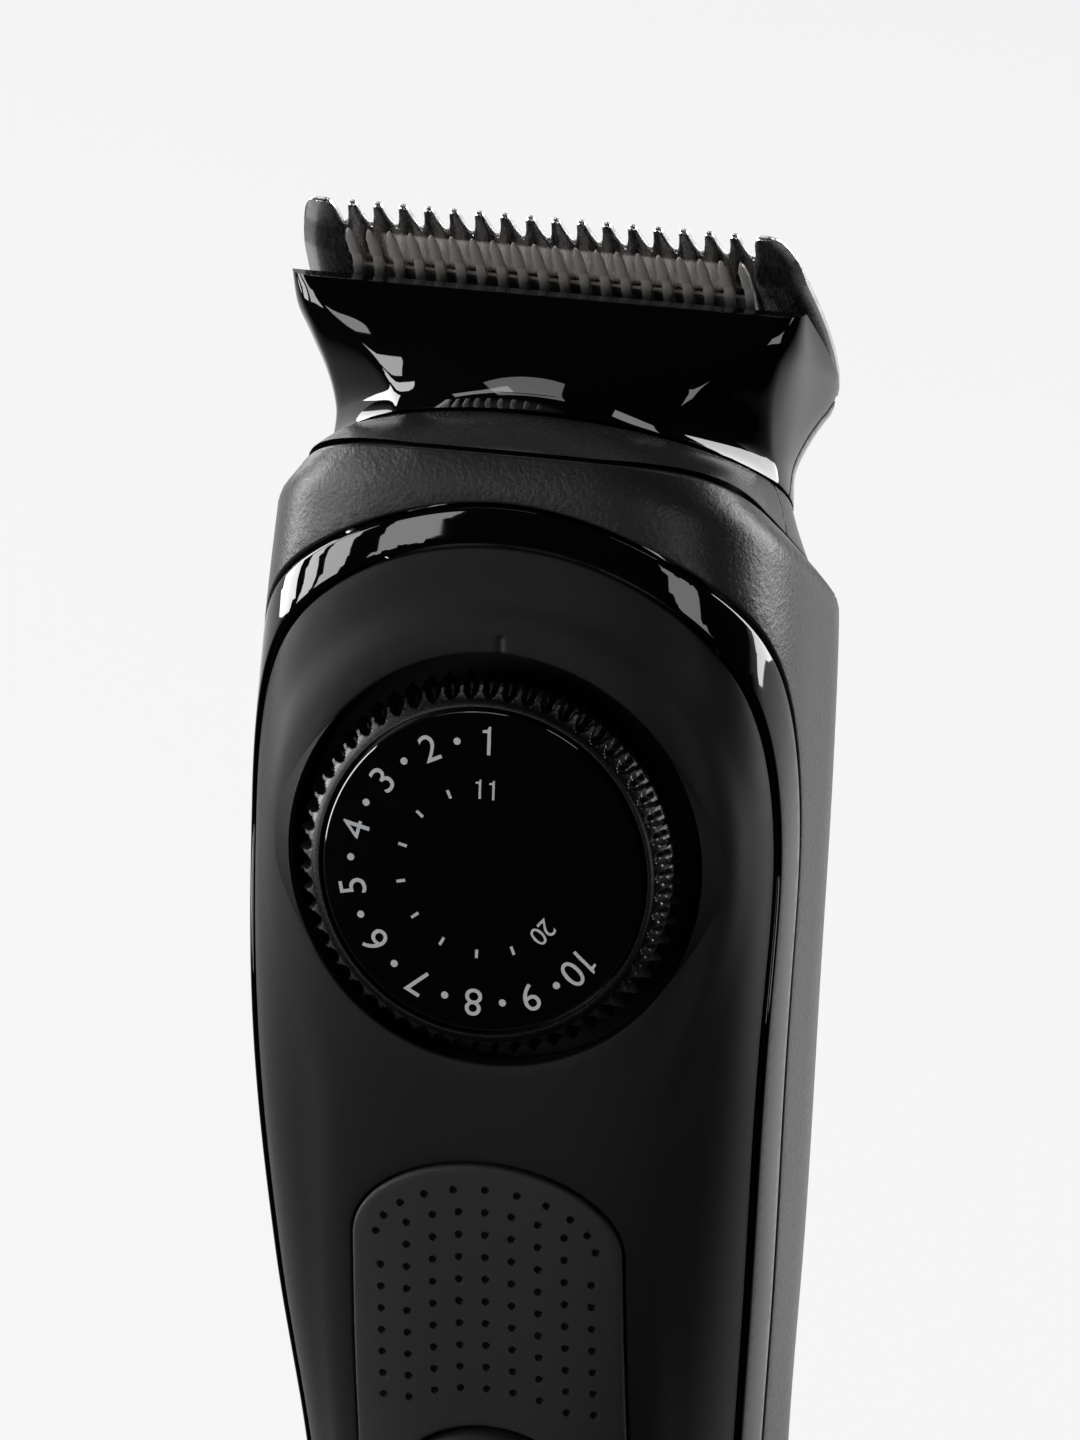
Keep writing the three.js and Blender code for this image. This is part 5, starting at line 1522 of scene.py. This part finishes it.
def make_collar(given):
    base = shoulder_ring(0, turn_in)
    neck = neck_ring_for(base, -SEAM, 0)
    rings = [base]
    for row in range(1, COLLAR_ROWS):
        share = row / COLLAR_ROWS
        level = base * (1 - share) + neck * share
        level[:, 2] += COLLAR_CROWN * math.sin(math.pi * share)
        rings.append(level)
    rings += [neck, neck_ring_for(base, -SEAM - COLLAR_LIP, COLLAR_LIP_WALL)]
    rings.append(shoulder_ring(-COLLAR_FOOT, lambda share: turn_in(share) + COLLAR_WALL))
    verts, faces = ring_mesh(rings)
    satin = finish(given, "collar")
    for node, side in (("collar_front", -1), ("collar_rear", 1)):
        piece = piece_from(f"{node}_band", verts, faces, "case", satin, [node], 40)
        recalculated(piece)
        edit(piece)
        cut_y = (COLLAR_SPLIT_Y + side * COLLAR_SPLIT_GAP / 2) * MM + MIDDLE_Y
        bpy.ops.mesh.bisect(plane_co=(0, cut_y, 0), plane_no=(0, -side, 0), use_fill=True, clear_outer=True)
        done()
        bevelled(piece, COLLAR_BEVEL, 3, 40)
        smoothed(piece, 40)


def make_base_cap(given):
    rings = [level_ring(BASE_SOLE, BASE_SOLE_INSET)]
    for angle in np.linspace(0, math.pi / 2, BASE_ROUND_STEPS):
        height, inset = BASE_ROUND * (1 - math.cos(angle)), BASE_ROUND * (1 - math.sin(angle))
        rings.append(level_ring(height, inset))
    edges = (
        (BASE_HEIGHT - BASE_EDGE, 0), (BASE_HEIGHT, BASE_EDGE), (BASE_HEIGHT, BASE_WALL),
        (BASE_PLUG_TOP, BASE_WALL), (BASE_PLUG_TOP, BASE_PLUG_WALL), (BASE_FLOOR, BASE_PLUG_WALL),
    )
    rings += [level_ring(height, inset) for height, inset in edges]
    verts, faces = ring_mesh(rings, closed_section=False, capped=True)
    matte = finish(given, "matte")
    piece = piece_from("base_cap_shell", verts, faces, "case", matte, ["base_cap"], 40)
    recalculated(piece)
    combined(piece, box_piece("socket_mouth", *SOCKET_MOUTH, body_place))
    smoothed(piece, 40)


def button_place(front):
    return lambda x, y, z: body_place(x, front + y, BUTTON_Z + z)


def make_button(given):
    """A round key with a shallow dish, a rounded edge and the stem and flange behind it."""
    front = skin([[0, BUTTON_Z]])[0, 1]
    _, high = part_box("power_button")
    back = (high.y - MIDDLE_Y) / MM - front
    profile = BUTTON_PROFILE + [(STEM_RADIUS, back), (0, back)]
    piece = spun("power_key", profile, button_place(front), 96)
    finish_piece(piece, "power_button", finish(given, "matte"), ["power_button"], 40)


# Dial pieces
def dial_circle(angle, radius, out):
    """A ring of points about the dial's axis."""
    radius = np.broadcast_to(radius, angle.shape)
    cos, sin = math.cos(DIAL_TILT), math.sin(DIAL_TILT)
    x, up = radius * np.cos(angle), radius * np.sin(angle)
    return np.stack([x, DIAL_Y + out * cos + up * sin, DIAL_Z - out * sin + up * cos], axis=1)


def scallop_circle(angle, spread, share, depth):
    """A ring of points at a share of the way down the slope, cut by the scallops and their ridges."""
    bowl = (spread / SCALLOP_HALF_SHARE) ** 2 + ((1 - share) / SCALLOP_HEIGHT_SHARE) ** 2
    cut = depth * np.clip((1 - bowl) / SCALLOP_WALL_SHARE, 0, 1) ** SCALLOP_POWER
    ridge = RIDGE_DEPTH_SHARE * depth * np.exp(-(spread / RIDGE_HALF_SHARE) ** 2)
    ridge = ridge * np.clip((share - RIDGE_START_SHARES[0]) / RIDGE_START_SHARES[1], 0, 1)
    ridge = ridge * np.clip((RIDGE_END_SHARES[0] - share) / RIDGE_END_SHARES[1], 0, 1)
    cut = np.maximum(cut - ridge, 0)
    slope = RING_SLOPE_RADIUS + (RING_RADIUS - RING_SLOPE_RADIUS) * share
    radius = np.maximum(slope - cut * SCALLOP_LEAN_SHARES[0], RING_SLOPE_RADIUS)
    out = RING_TOP + RING_RISE * share ** RING_SLOPE_POWER + cut * SCALLOP_LEAN_SHARES[1]
    return dial_circle(angle, radius, out)


def make_dial_ring(given):
    """A ring with U-shaped scallops cut into its slope, a short ridge in each."""
    count = given.ring_teeth * SCALLOP_STEPS
    depth = given.scallop_depth / MM
    angle = np.arange(count) / count * math.tau
    spread = np.abs((np.arange(count) % SCALLOP_STEPS) / SCALLOP_STEPS - 0.5)
    above = (
        (RING_RIM_RADIUS, RING_FRONT), (RING_RIM_RADIUS, RING_RIM_TOP + RING_EDGE),
        (RING_RIM_RADIUS + RING_EDGE, RING_RIM_TOP), (RING_SLOPE_RADIUS - RING_SLOPE_EDGE, RING_RIM_TOP),
        (RING_SLOPE_RADIUS, RING_TOP),
    )
    rings = [dial_circle(angle, radius, out) for radius, out in above]
    for level in range(1, SCALLOP_LEVELS + 1):
        rings.append(scallop_circle(angle, spread, level / SCALLOP_LEVELS, depth))
    low = rings[-1]
    edge = np.hypot(low[:, 0], (low[:, 2] - DIAL_Z) / math.cos(DIAL_TILT))
    below = (
        (np.minimum(edge, RING_RADIUS - RING_SKIRT_INSET), RING_SKIRT),
        (RING_RADIUS - RING_WALL, RING_WALL_START), (RING_RADIUS - RING_WALL, RING_BACK),
        (HUB_RADIUS, RING_BACK), (HUB_RADIUS, HUB_BACK),
        (BORE_RADIUS, HUB_BACK), (BORE_RADIUS, RING_FRONT),
    )
    rings += [dial_circle(angle, radius, out) for radius, out in below]
    verts, faces = ring_mesh(rings)
    satin = finish(given, "ring")
    piece = piece_from("dial_scalloped_ring", verts, faces, "dial", satin, ["dial_ring"], 35)
    recalculated(piece)
    smoothed(piece, 35)


def make_dial_face(given):
    piece = spun("dial_face_disc", FACE_PROFILE, dial_place, 128)
    finish_piece(piece, "dial", finish(given, "gloss"), ["dial_face"], 25)


def print_matrix(radius, turn):
    """Puts a flat mark, drawn about the origin in metres, at the dial's top and turns it to its place."""
    cos, sin = math.cos(DIAL_TILT), math.sin(DIAL_TILT)
    centre = body_place(0, DIAL_Y, DIAL_Z)
    across, up, out = Vector((1, 0, 0)), Vector((0, sin, cos)), Vector((0, -cos, sin))
    basis = Matrix((across, up, out)).transposed().to_4x4()
    shift = Matrix.Translation((0, radius * MM, (FACE_PROUD + PRINT_THICKNESS / 2) * MM))
    return Matrix.Translation(centre) @ basis @ Matrix.Rotation(turn, 4, "Z") @ shift


def printed_one(height, across, place):
    """A figure one, moved across by a share of its height."""
    outline = [((x + across) * height / MM, y * height / MM) for x, y in ONE_SHARES]
    one = extruded("one", outline, lambda x, depth, up: Vector((x, up, depth)) * MM,
                   -PRINT_THICKNESS / 2, PRINT_THICKNESS / 2)
    one.data.transform(place)
    return one


def printed_text(body, height, radius, turn, across=0):
    bpy.ops.object.select_all(action="DESELECT")
    bpy.ops.object.text_add(location=(0, 0, 0))
    text = bpy.context.active_object
    text.data.body = body
    text.data.size = height / FIGURE_SHARE
    text.data.extrude = PRINT_THICKNESS / 2 * MM
    text.data.align_x = "CENTER"
    text.data.align_y = "CENTER"
    text.data.space_character = FIGURE_SPACING
    bpy.ops.object.convert(target="MESH")
    low = min(vertex.co.y for vertex in text.data.vertices)
    high = max(vertex.co.y for vertex in text.data.vertices)
    text.data.transform(Matrix.Translation((across * height, -(low + high) / 2, 0)))
    text.data.transform(print_matrix(radius, turn))
    return text


def printed_dot(radius, sides, place):
    bpy.ops.object.select_all(action="DESELECT")
    thick = PRINT_THICKNESS * MM
    bpy.ops.mesh.primitive_cylinder_add(vertices=sides, radius=radius, depth=thick, location=(0, 0, 0))
    dot = bpy.context.active_object
    dot.data.transform(place)
    return dot


def make_numbers(given):
    """Large numbers with dots between them, and an inner scale of two small numbers joined by ticks."""
    tall, small = given.number_height, given.small_number_height
    marks = []
    for number in range(1, LAST_NUMBER + 1):
        turn = NUMBER_PITCH * (number - 1)
        if number == 1:
            marks.append(printed_one(tall, ONE_ACROSS_SHARE, print_matrix(NUMBER_RADIUS, turn)))
        elif number == LAST_NUMBER:
            marks.append(printed_one(tall, TEN_ACROSS_SHARES[0], print_matrix(NUMBER_RADIUS, turn)))
            marks.append(printed_text("0", tall, NUMBER_RADIUS, turn, TEN_ACROSS_SHARES[1]))
        else:
            marks.append(printed_text(str(number), tall, NUMBER_RADIUS, turn))
        if number < LAST_NUMBER:
            place = print_matrix(NUMBER_RADIUS, turn + NUMBER_PITCH / 2)
            marks.append(printed_dot(given.dot_radius, 20, place))
    for across in ELEVEN_ACROSS_SHARES:
        marks.append(printed_one(small, across, print_matrix(INNER_NUMBER_RADIUS, 0)))
    marks.append(printed_text(INNER_LAST, small, INNER_NUMBER_RADIUS, (LAST_NUMBER - 1) * NUMBER_PITCH))
    for tick in range(1, LAST_NUMBER - 1):
        place = print_matrix(INNER_NUMBER_RADIUS, NUMBER_PITCH * tick) @ Matrix.Diagonal(TICK_STRETCH)
        marks.append(printed_dot(TICK_RADIUS * MM, 4, place @ Matrix.Rotation(math.pi / 4, 4, "Z")))
    piece = merged(marks, "dial_numbers")
    finish_piece(piece, "dial", finish(given, "print"), (), 30)


# Head
def rib_rows(shares):
    """Rib values between the neck, at 0, and the lip, at 1."""
    at = np.clip(np.asarray(shares, float), 0, 1) * (len(HEAD_RIBS) - 1)
    index = np.clip(np.floor(at).astype(int), 0, len(HEAD_RIBS) - 2)
    t = (at - index)[:, None]
    low, high = HEAD_RIBS[index], HEAD_RIBS[index + 1]
    before = HEAD_RIBS[np.maximum(index - 1, 0)]
    after = HEAD_RIBS[np.minimum(index + 2, len(HEAD_RIBS) - 1)]
    slope_low, slope_high = (high - before) / 2, (after - low) / 2
    return between(low, high, slope_low, slope_high, t)


def crease_points(share, square):
    """The two creases of a head section, in shares of its half width and half depth."""
    ease = smooth_step(share)
    start, change = np.array(FRONT_CREASE_SHARES)
    first = start + change * ease
    side = SIDE_CREASE_SHARES[0] - SIDE_CREASE_SHARES[1] * (1 - ease)
    second = np.array([(1 - side ** square) ** (1 / square), -side])
    return first, second * (1 - ease) + np.array(LIP_CORNER_SHARES) * ease


def section_line(share, square):
    """Half of a head section in shares: front middle, front crease, side crease, back middle."""
    first, second = crease_points(share, square)
    t = np.linspace(0, 1, CREASE_STEPS)
    front = np.stack([first[0] * t, -1 + (first[1] + 1) * t * t], axis=1)
    outward = np.array([second[1] - first[1], first[0] - second[0]])
    outward = np.abs(outward / max(np.linalg.norm(outward), SAME_POINT)) * [1, -1]
    bow = np.sin(math.pi * t)[:, None] * outward * CREASE_BOW_SHARE * max(0, 1 - share / CREASE_BOW_END)
    corner = first + (second - first) * t[:, None] + bow
    angle = np.linspace(math.atan2(second[1], second[0]), math.pi / 2, BACK_STEPS)
    across, ahead = np.cos(angle), np.sin(angle)
    radius = (np.abs(across) ** square + np.abs(ahead) ** square) ** (-1 / square)
    back = np.stack([across * radius, ahead * radius], axis=1)
    back = back + (second - back[0]) * np.exp(-np.linspace(0, BACK_PULL_RUN, BACK_STEPS))[:, None]
    return np.concatenate([front, corner[1:], back[1:]])


def head_half(share, rib, inset):
    """Half of a head section, front middle to back middle, as points across and along the rib."""
    along = np.hypot(rib[2] - rib[0], rib[3] - rib[1]) / 2 - inset
    line = section_line(share, rib[5]) * [rib[4] - inset, along]
    line[-1, 0] = 0
    length = np.concatenate([[0], np.cumsum(np.hypot(*np.diff(line, axis=0).T))])
    crease, side, end = length[CREASE_STEPS - 1], length[2 * (CREASE_STEPS - 1)], length[-1]
    quarter = math.pi / 2
    front_count, side_count, back_count = SECTION_POINTS
    spots = np.concatenate([
        crease * np.sin(np.linspace(0, quarter, front_count)),
        crease + (side - crease) * (1 - np.cos(np.linspace(0, math.pi, side_count)[1:])) / 2,
        side + (end - side) * (1 - np.cos(np.linspace(0, quarter, back_count)[1:])),
    ])
    room = np.minimum(1, np.minimum(spots, end - spots) / CREASE_SPREAD)
    made = np.zeros((len(spots), 2))
    for offset in CREASE_OFFSETS:
        at = spots + CREASE_SPREAD * offset * room
        made += np.stack([np.interp(at, length, line[:, 0]), np.interp(at, length, line[:, 1])], axis=1)
    made /= len(CREASE_OFFSETS)
    made[0, 0] = made[-1, 0] = 0
    return made


def head_ring(share, inset):
    """A ring of the head at a share of the way from the neck to the lip, wider towards its back."""
    rib = rib_rows([share])[0]
    half = head_half(share, rib, inset)
    whole = np.concatenate([half, (half * [-1, 1])[-2:0:-1]])
    front, back = rib[:2], rib[2:4]
    depth = np.linalg.norm(back - front)
    middle, along = (front + back) / 2, (back - front) / depth
    rearward = np.clip(whole[:, 1] / (depth / 2), -1, 1)
    flare = REAR_FLARE * min(share / FLARE_END, 1)
    ring = np.zeros((len(whole), 3))
    ring[:, 0] = whole[:, 0] * (1 + flare * (rearward + 1) / 2)
    ring[:, 1] = middle[0] + along[0] * whole[:, 1]
    ring[:, 2] = middle[1] + along[1] * whole[:, 1]
    return ring


def head_block(name, node, material):
    """The whole head as a solid with a hollow, before it is cut."""
    rings = [head_ring(share, 0) for share in np.linspace(0, 1, HEAD_LEVELS)]
    inner_shares = np.linspace(0, HEAD_INNER_TOP_SHARE, HEAD_INNER_LEVELS)
    inner = [head_ring(share, HEAD_WALL) for share in inner_shares]
    verts, faces = ring_mesh(rings, closed_section=False)
    more, inner_faces = ring_mesh(inner, closed_section=False)
    count, offset = len(rings[0]), len(verts)
    faces = [face[::-1] for face in faces] + [tuple(i + offset for i in face) for face in inner_faces]
    faces.append(tuple(range(offset - count, offset)))
    faces.append(tuple(range(offset + (len(inner) - 1) * count, offset + len(inner) * count)))
    for step in range(count):
        following = (step + 1) % count
        faces.append((step, following, offset + following, offset + step))
    piece = piece_from(name, verts + more, faces, "head", material, [node], 30)
    recalculated(piece)
    return piece


def sloping_place(front, back):
    """Depth runs along the line between two (y, z) points, height away from it."""
    run = np.subtract(back, front) / np.linalg.norm(np.subtract(back, front))

    def place(x, y, z):
        return body_place(x, front[0] + y * run[0] - z * run[1], front[1] + y * run[1] + z * run[0])

    return place


def make_head(given):
    gloss = finish(given, "gloss")
    front = head_block("head_front_cover", "head_front_housing", gloss)
    rear = head_block("head_rear_cover", "head_rear_housing", gloss)
    side_edge = sloping_place((LIP_BACK, LIP_TOP), SIDE_EDGE_END)
    for piece in (front, rear):
        combined(piece, box_piece("above_blade", *ABOVE_BLADE, blade_place))
        combined(piece, box_piece("above_lip", (-40, -OVERRUN, LIP_TOP), (40, OVERRUN, 200), body_place))
        combined(piece, box_piece("above_sides", (-40, -OVERRUN, 0), (40, OVERRUN, OVERRUN), side_edge))
    parting = sloping_place(PARTING_FRONT, PARTING_BACK)
    combined(front, box_piece("slot", *BLADE_SLOT, blade_place))
    combined(front, box_piece("pocket", *CARRIER_POCKET, blade_place))
    combined(front, box_piece("below", (-40, -OVERRUN, -OVERRUN), (40, OVERRUN, SEAM), parting))
    combined(rear, box_piece("above", (-40, -OVERRUN, 0), (40, OVERRUN, OVERRUN), parting))
    bevelled(front, FRONT_HEAD_BEVEL, 1, 50)
    bevelled(rear, REAR_HEAD_BEVEL, 2, 50)
    for piece in (front, rear):
        smoothed(piece, 32)
    neck = shoulder_ring(0, 0, SPIGOT_STEPS)
    verts, faces = ring_mesh([neck_ring_for(neck, lift, inset) for lift, inset in SPIGOT_RINGS])
    ring = piece_from("head_spigot", verts, faces, "head", gloss, (), 30)
    recalculated(ring)


# Blades
def blade_depths(flat, away):
    """Depths of the fixed blade's two faces: thin tips, a chamfer outside the guards and rounded edges."""
    down = -flat[:, 1]
    taper = np.clip((down - NOTCH_DEPTH) / TIP_TAPER, 0, 1)
    outside = np.clip((flat[:, 0] - CHAMFER_START) / CHAMFER_RUN, 0, 1)
    chamfer = CHAMFER_DROP * outside * np.clip(1 - away / CHAMFER_WIDTH, 0, 1)
    drop = rounding(away, BLADE_RIM)
    return -TIP_THICKNESS - (BLADE_THICKNESS - TIP_THICKNESS) * taper + np.maximum(drop, chamfer), -drop


def make_fixed_blade(given):
    edge = [(0, -NOTCH_DEPTH)]
    for tooth in range(TOOTH_COUNT // 2):
        centre = (tooth + 0.5) * TOOTH_PITCH
        edge += [(centre - across, -depth) for across, depth in TOOTH_SHAPE[-2:0:-1]]
        edge += [(centre + across, -depth) for across, depth in TOOTH_SHAPE]
    edge += [(across, -depth) for across, depth in GUARD_SHAPE]
    edge.append((0, -BLADE_LENGTH))
    edge = edge[::-1]
    lines = [(edge, True), ([edge[-1], edge[0]], False)]
    flat, faces, away = flat_mesh(lines, BLADE_EDGE_STEP, BLADE_INNER_RIM, BLADE_LATTICE)
    near, far = blade_depths(flat, away)
    middle = np.abs(flat[:, 0]) < SAME_POINT
    verts, made = mirrored_solid(faces, blade_points(flat, near), blade_points(flat, far), middle)
    steel = blade_finish(given)
    piece = piece_from("fixed_blade_plate", verts, made, "head", steel, ["fixed_blade"], 35)
    hole = [(0, -3), (BLADE_HOLE_RADIUS, -3), (BLADE_HOLE_RADIUS, 3), (0, 3)]
    for side in (-1, 1):
        def hole_place(x, y, z):
            return blade_place(x + side * BLADE_SCREW_X, y, z + BLADE_SCREW_Z)

        combined(piece, spun("hole", hole, hole_place, 20))
    smoothed(piece, 35)


def make_moving_blade(given):
    """A thin plate with a row of ribs on it; each rib ends in a tooth and has a notch and a sloping step."""
    wide = given.mover_rib_width / MM
    half_row = (MOVER_COUNT - 1) / 2 * MOVER_PITCH
    low, end = MOVER_TOP - MOVER_LENGTH, half_row + wide / 2
    outline = [(-end, low), (end, low), (end, MOVER_GAP_END), (-end, MOVER_GAP_END)]
    pieces = [extruded("moving_blade_plate", outline, blade_place, MOVER_BACK, MOVER_BACK - MOVER_PLATE)]
    front = [(wide * share, up) for share, up in [(-0.5, RIB_BOTTOM)] + RIB_RIGHT + RIB_LEFT]
    rib = extruded("rib", front, blade_place, MOVER_BACK, MOVER_FRONT - RIB_PROUD)
    tool = extruded("profile", RIB_SIDE, lambda across, depth, up: blade_place(depth, across, up), -1, 1)
    combined(rib, tool, "INTERSECT")
    bevelled(rib, RIB_BEVEL, 2, 25)
    for number in range(MOVER_COUNT):
        tooth = copied(rib, "rib_copy")
        shift = (number * MOVER_PITCH - half_row) * MM
        tooth.data.transform(Matrix.Translation((shift, 0, 0)))
        pieces.append(tooth)
    bpy.data.objects.remove(rib)
    piece = merged(pieces, "moving_blade_ribbed")
    finish_piece(piece, "moving_blade", finish(given, "mover"), ["moving_blade"], 25)


def make_frame_finishes(given):
    """Gives every frame node that stays its own finish."""
    for key, nodes in NODE_FINISHES.items():
        for node in nodes:
            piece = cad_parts[node]
            piece.data.materials.clear()
            piece.data.materials.append(finish(given, key))


# Operators, one for each piece or group of like pieces and one for the stage
class GROOMER_OT_stage(bpy.types.Operator):
    """Camera, pale floor, backdrop and studio lamps"""
    bl_idname = "groomer.stage"
    bl_label = "Stage"

    def execute(self, context):
        make_stage(context.scene.groomer)
        return {"FINISHED"}


class GROOMER_OT_front_panel(bpy.types.Operator):
    """Matte front panel with the dial's well"""
    bl_idname = "groomer.front_panel"
    bl_label = "Front Panel"

    def execute(self, context):
        make_front_panel(context.scene.groomer)
        return {"FINISHED"}


class GROOMER_OT_bezel(bpy.types.Operator):
    """Polished arch between the panel and the shell"""
    bl_idname = "groomer.bezel"
    bl_label = "Bezel"

    def execute(self, context):
        make_bezel(context.scene.groomer)
        return {"FINISHED"}


class GROOMER_OT_rear_shell(bpy.types.Operator):
    """Textured rear shell with the slot of the comb hook"""
    bl_idname = "groomer.rear_shell"
    bl_label = "Rear Shell"

    def execute(self, context):
        make_rear_shell(context.scene.groomer)
        return {"FINISHED"}


class GROOMER_OT_grip_pad(bpy.types.Operator):
    """Soft grip with rows of dimples"""
    bl_idname = "groomer.grip_pad"
    bl_label = "Grip Pad"

    def execute(self, context):
        make_grip_pad(context.scene.groomer)
        return {"FINISHED"}


class GROOMER_OT_collar(bpy.types.Operator):
    """Two collar bands between the body and the head"""
    bl_idname = "groomer.collar"
    bl_label = "Collar"

    def execute(self, context):
        make_collar(context.scene.groomer)
        return {"FINISHED"}


class GROOMER_OT_base_cap(bpy.types.Operator):
    """Base cap round the charging socket"""
    bl_idname = "groomer.base_cap"
    bl_label = "Base Cap"

    def execute(self, context):
        make_base_cap(context.scene.groomer)
        return {"FINISHED"}


class GROOMER_OT_button(bpy.types.Operator):
    """Round power key"""
    bl_idname = "groomer.button"
    bl_label = "Power Key"

    def execute(self, context):
        make_button(context.scene.groomer)
        return {"FINISHED"}


class GROOMER_OT_dial(bpy.types.Operator):
    """Scalloped ring, polished face and printed numbers of the dial"""
    bl_idname = "groomer.dial"
    bl_label = "Dial"

    def execute(self, context):
        given = context.scene.groomer
        make_dial_ring(given)
        make_dial_face(given)
        make_numbers(given)
        return {"FINISHED"}


class GROOMER_OT_head(bpy.types.Operator):
    """Front and rear covers of the head"""
    bl_idname = "groomer.head"
    bl_label = "Head Covers"

    def execute(self, context):
        make_head(context.scene.groomer)
        return {"FINISHED"}


class GROOMER_OT_blades(bpy.types.Operator):
    """Fixed blade and moving blade"""
    bl_idname = "groomer.blades"
    bl_label = "Blades"

    def execute(self, context):
        given = context.scene.groomer
        make_fixed_blade(given)
        make_moving_blade(given)
        return {"FINISHED"}


class GROOMER_OT_frame_finishes(bpy.types.Operator):
    """Finishes of the inner parts that the frame already holds"""
    bl_idname = "groomer.frame_finishes"
    bl_label = "Inner Part Finishes"

    def execute(self, context):
        make_frame_finishes(context.scene.groomer)
        return {"FINISHED"}


OPERATORS = (
    GROOMER_OT_stage, GROOMER_OT_front_panel, GROOMER_OT_bezel, GROOMER_OT_rear_shell, GROOMER_OT_grip_pad,
    GROOMER_OT_collar, GROOMER_OT_base_cap, GROOMER_OT_button, GROOMER_OT_dial, GROOMER_OT_head,
    GROOMER_OT_blades, GROOMER_OT_frame_finishes,
)


class GROOMER_PT_parts(bpy.types.Panel):
    """Lists the pieces and the sizes that can be changed"""
    bl_idname = "GROOMER_PT_parts"
    bl_label = "Body Groomer"
    bl_space_type = "VIEW_3D"
    bl_region_type = "UI"
    bl_category = "Groomer"

    def draw(self, context):
        given = context.scene.groomer
        for name in given.bl_rna.properties.keys():
            if name not in ("rna_type", "name"):
                self.layout.prop(given, name)
        for operator in OPERATORS:
            self.layout.operator(operator.bl_idname)


def register():
    for made in (GroomerSettings, *OPERATORS, GROOMER_PT_parts):
        bpy.utils.register_class(made)
    bpy.types.Scene.groomer = bpy.props.PointerProperty(type=GroomerSettings)


def unregister():
    del bpy.types.Scene.groomer
    for made in reversed((GroomerSettings, *OPERATORS, GROOMER_PT_parts)):
        bpy.utils.unregister_class(made)


def main():
    register()
    bpy.ops.groomer.stage()
    bpy.ops.groomer.front_panel()
    bpy.ops.groomer.bezel()
    bpy.ops.groomer.rear_shell()
    bpy.ops.groomer.grip_pad()
    bpy.ops.groomer.collar()
    bpy.ops.groomer.base_cap()
    bpy.ops.groomer.button()
    bpy.ops.groomer.dial()
    bpy.ops.groomer.head()
    bpy.ops.groomer.blades()
    bpy.ops.groomer.frame_finishes()


if __name__ == "__main__":
    main()
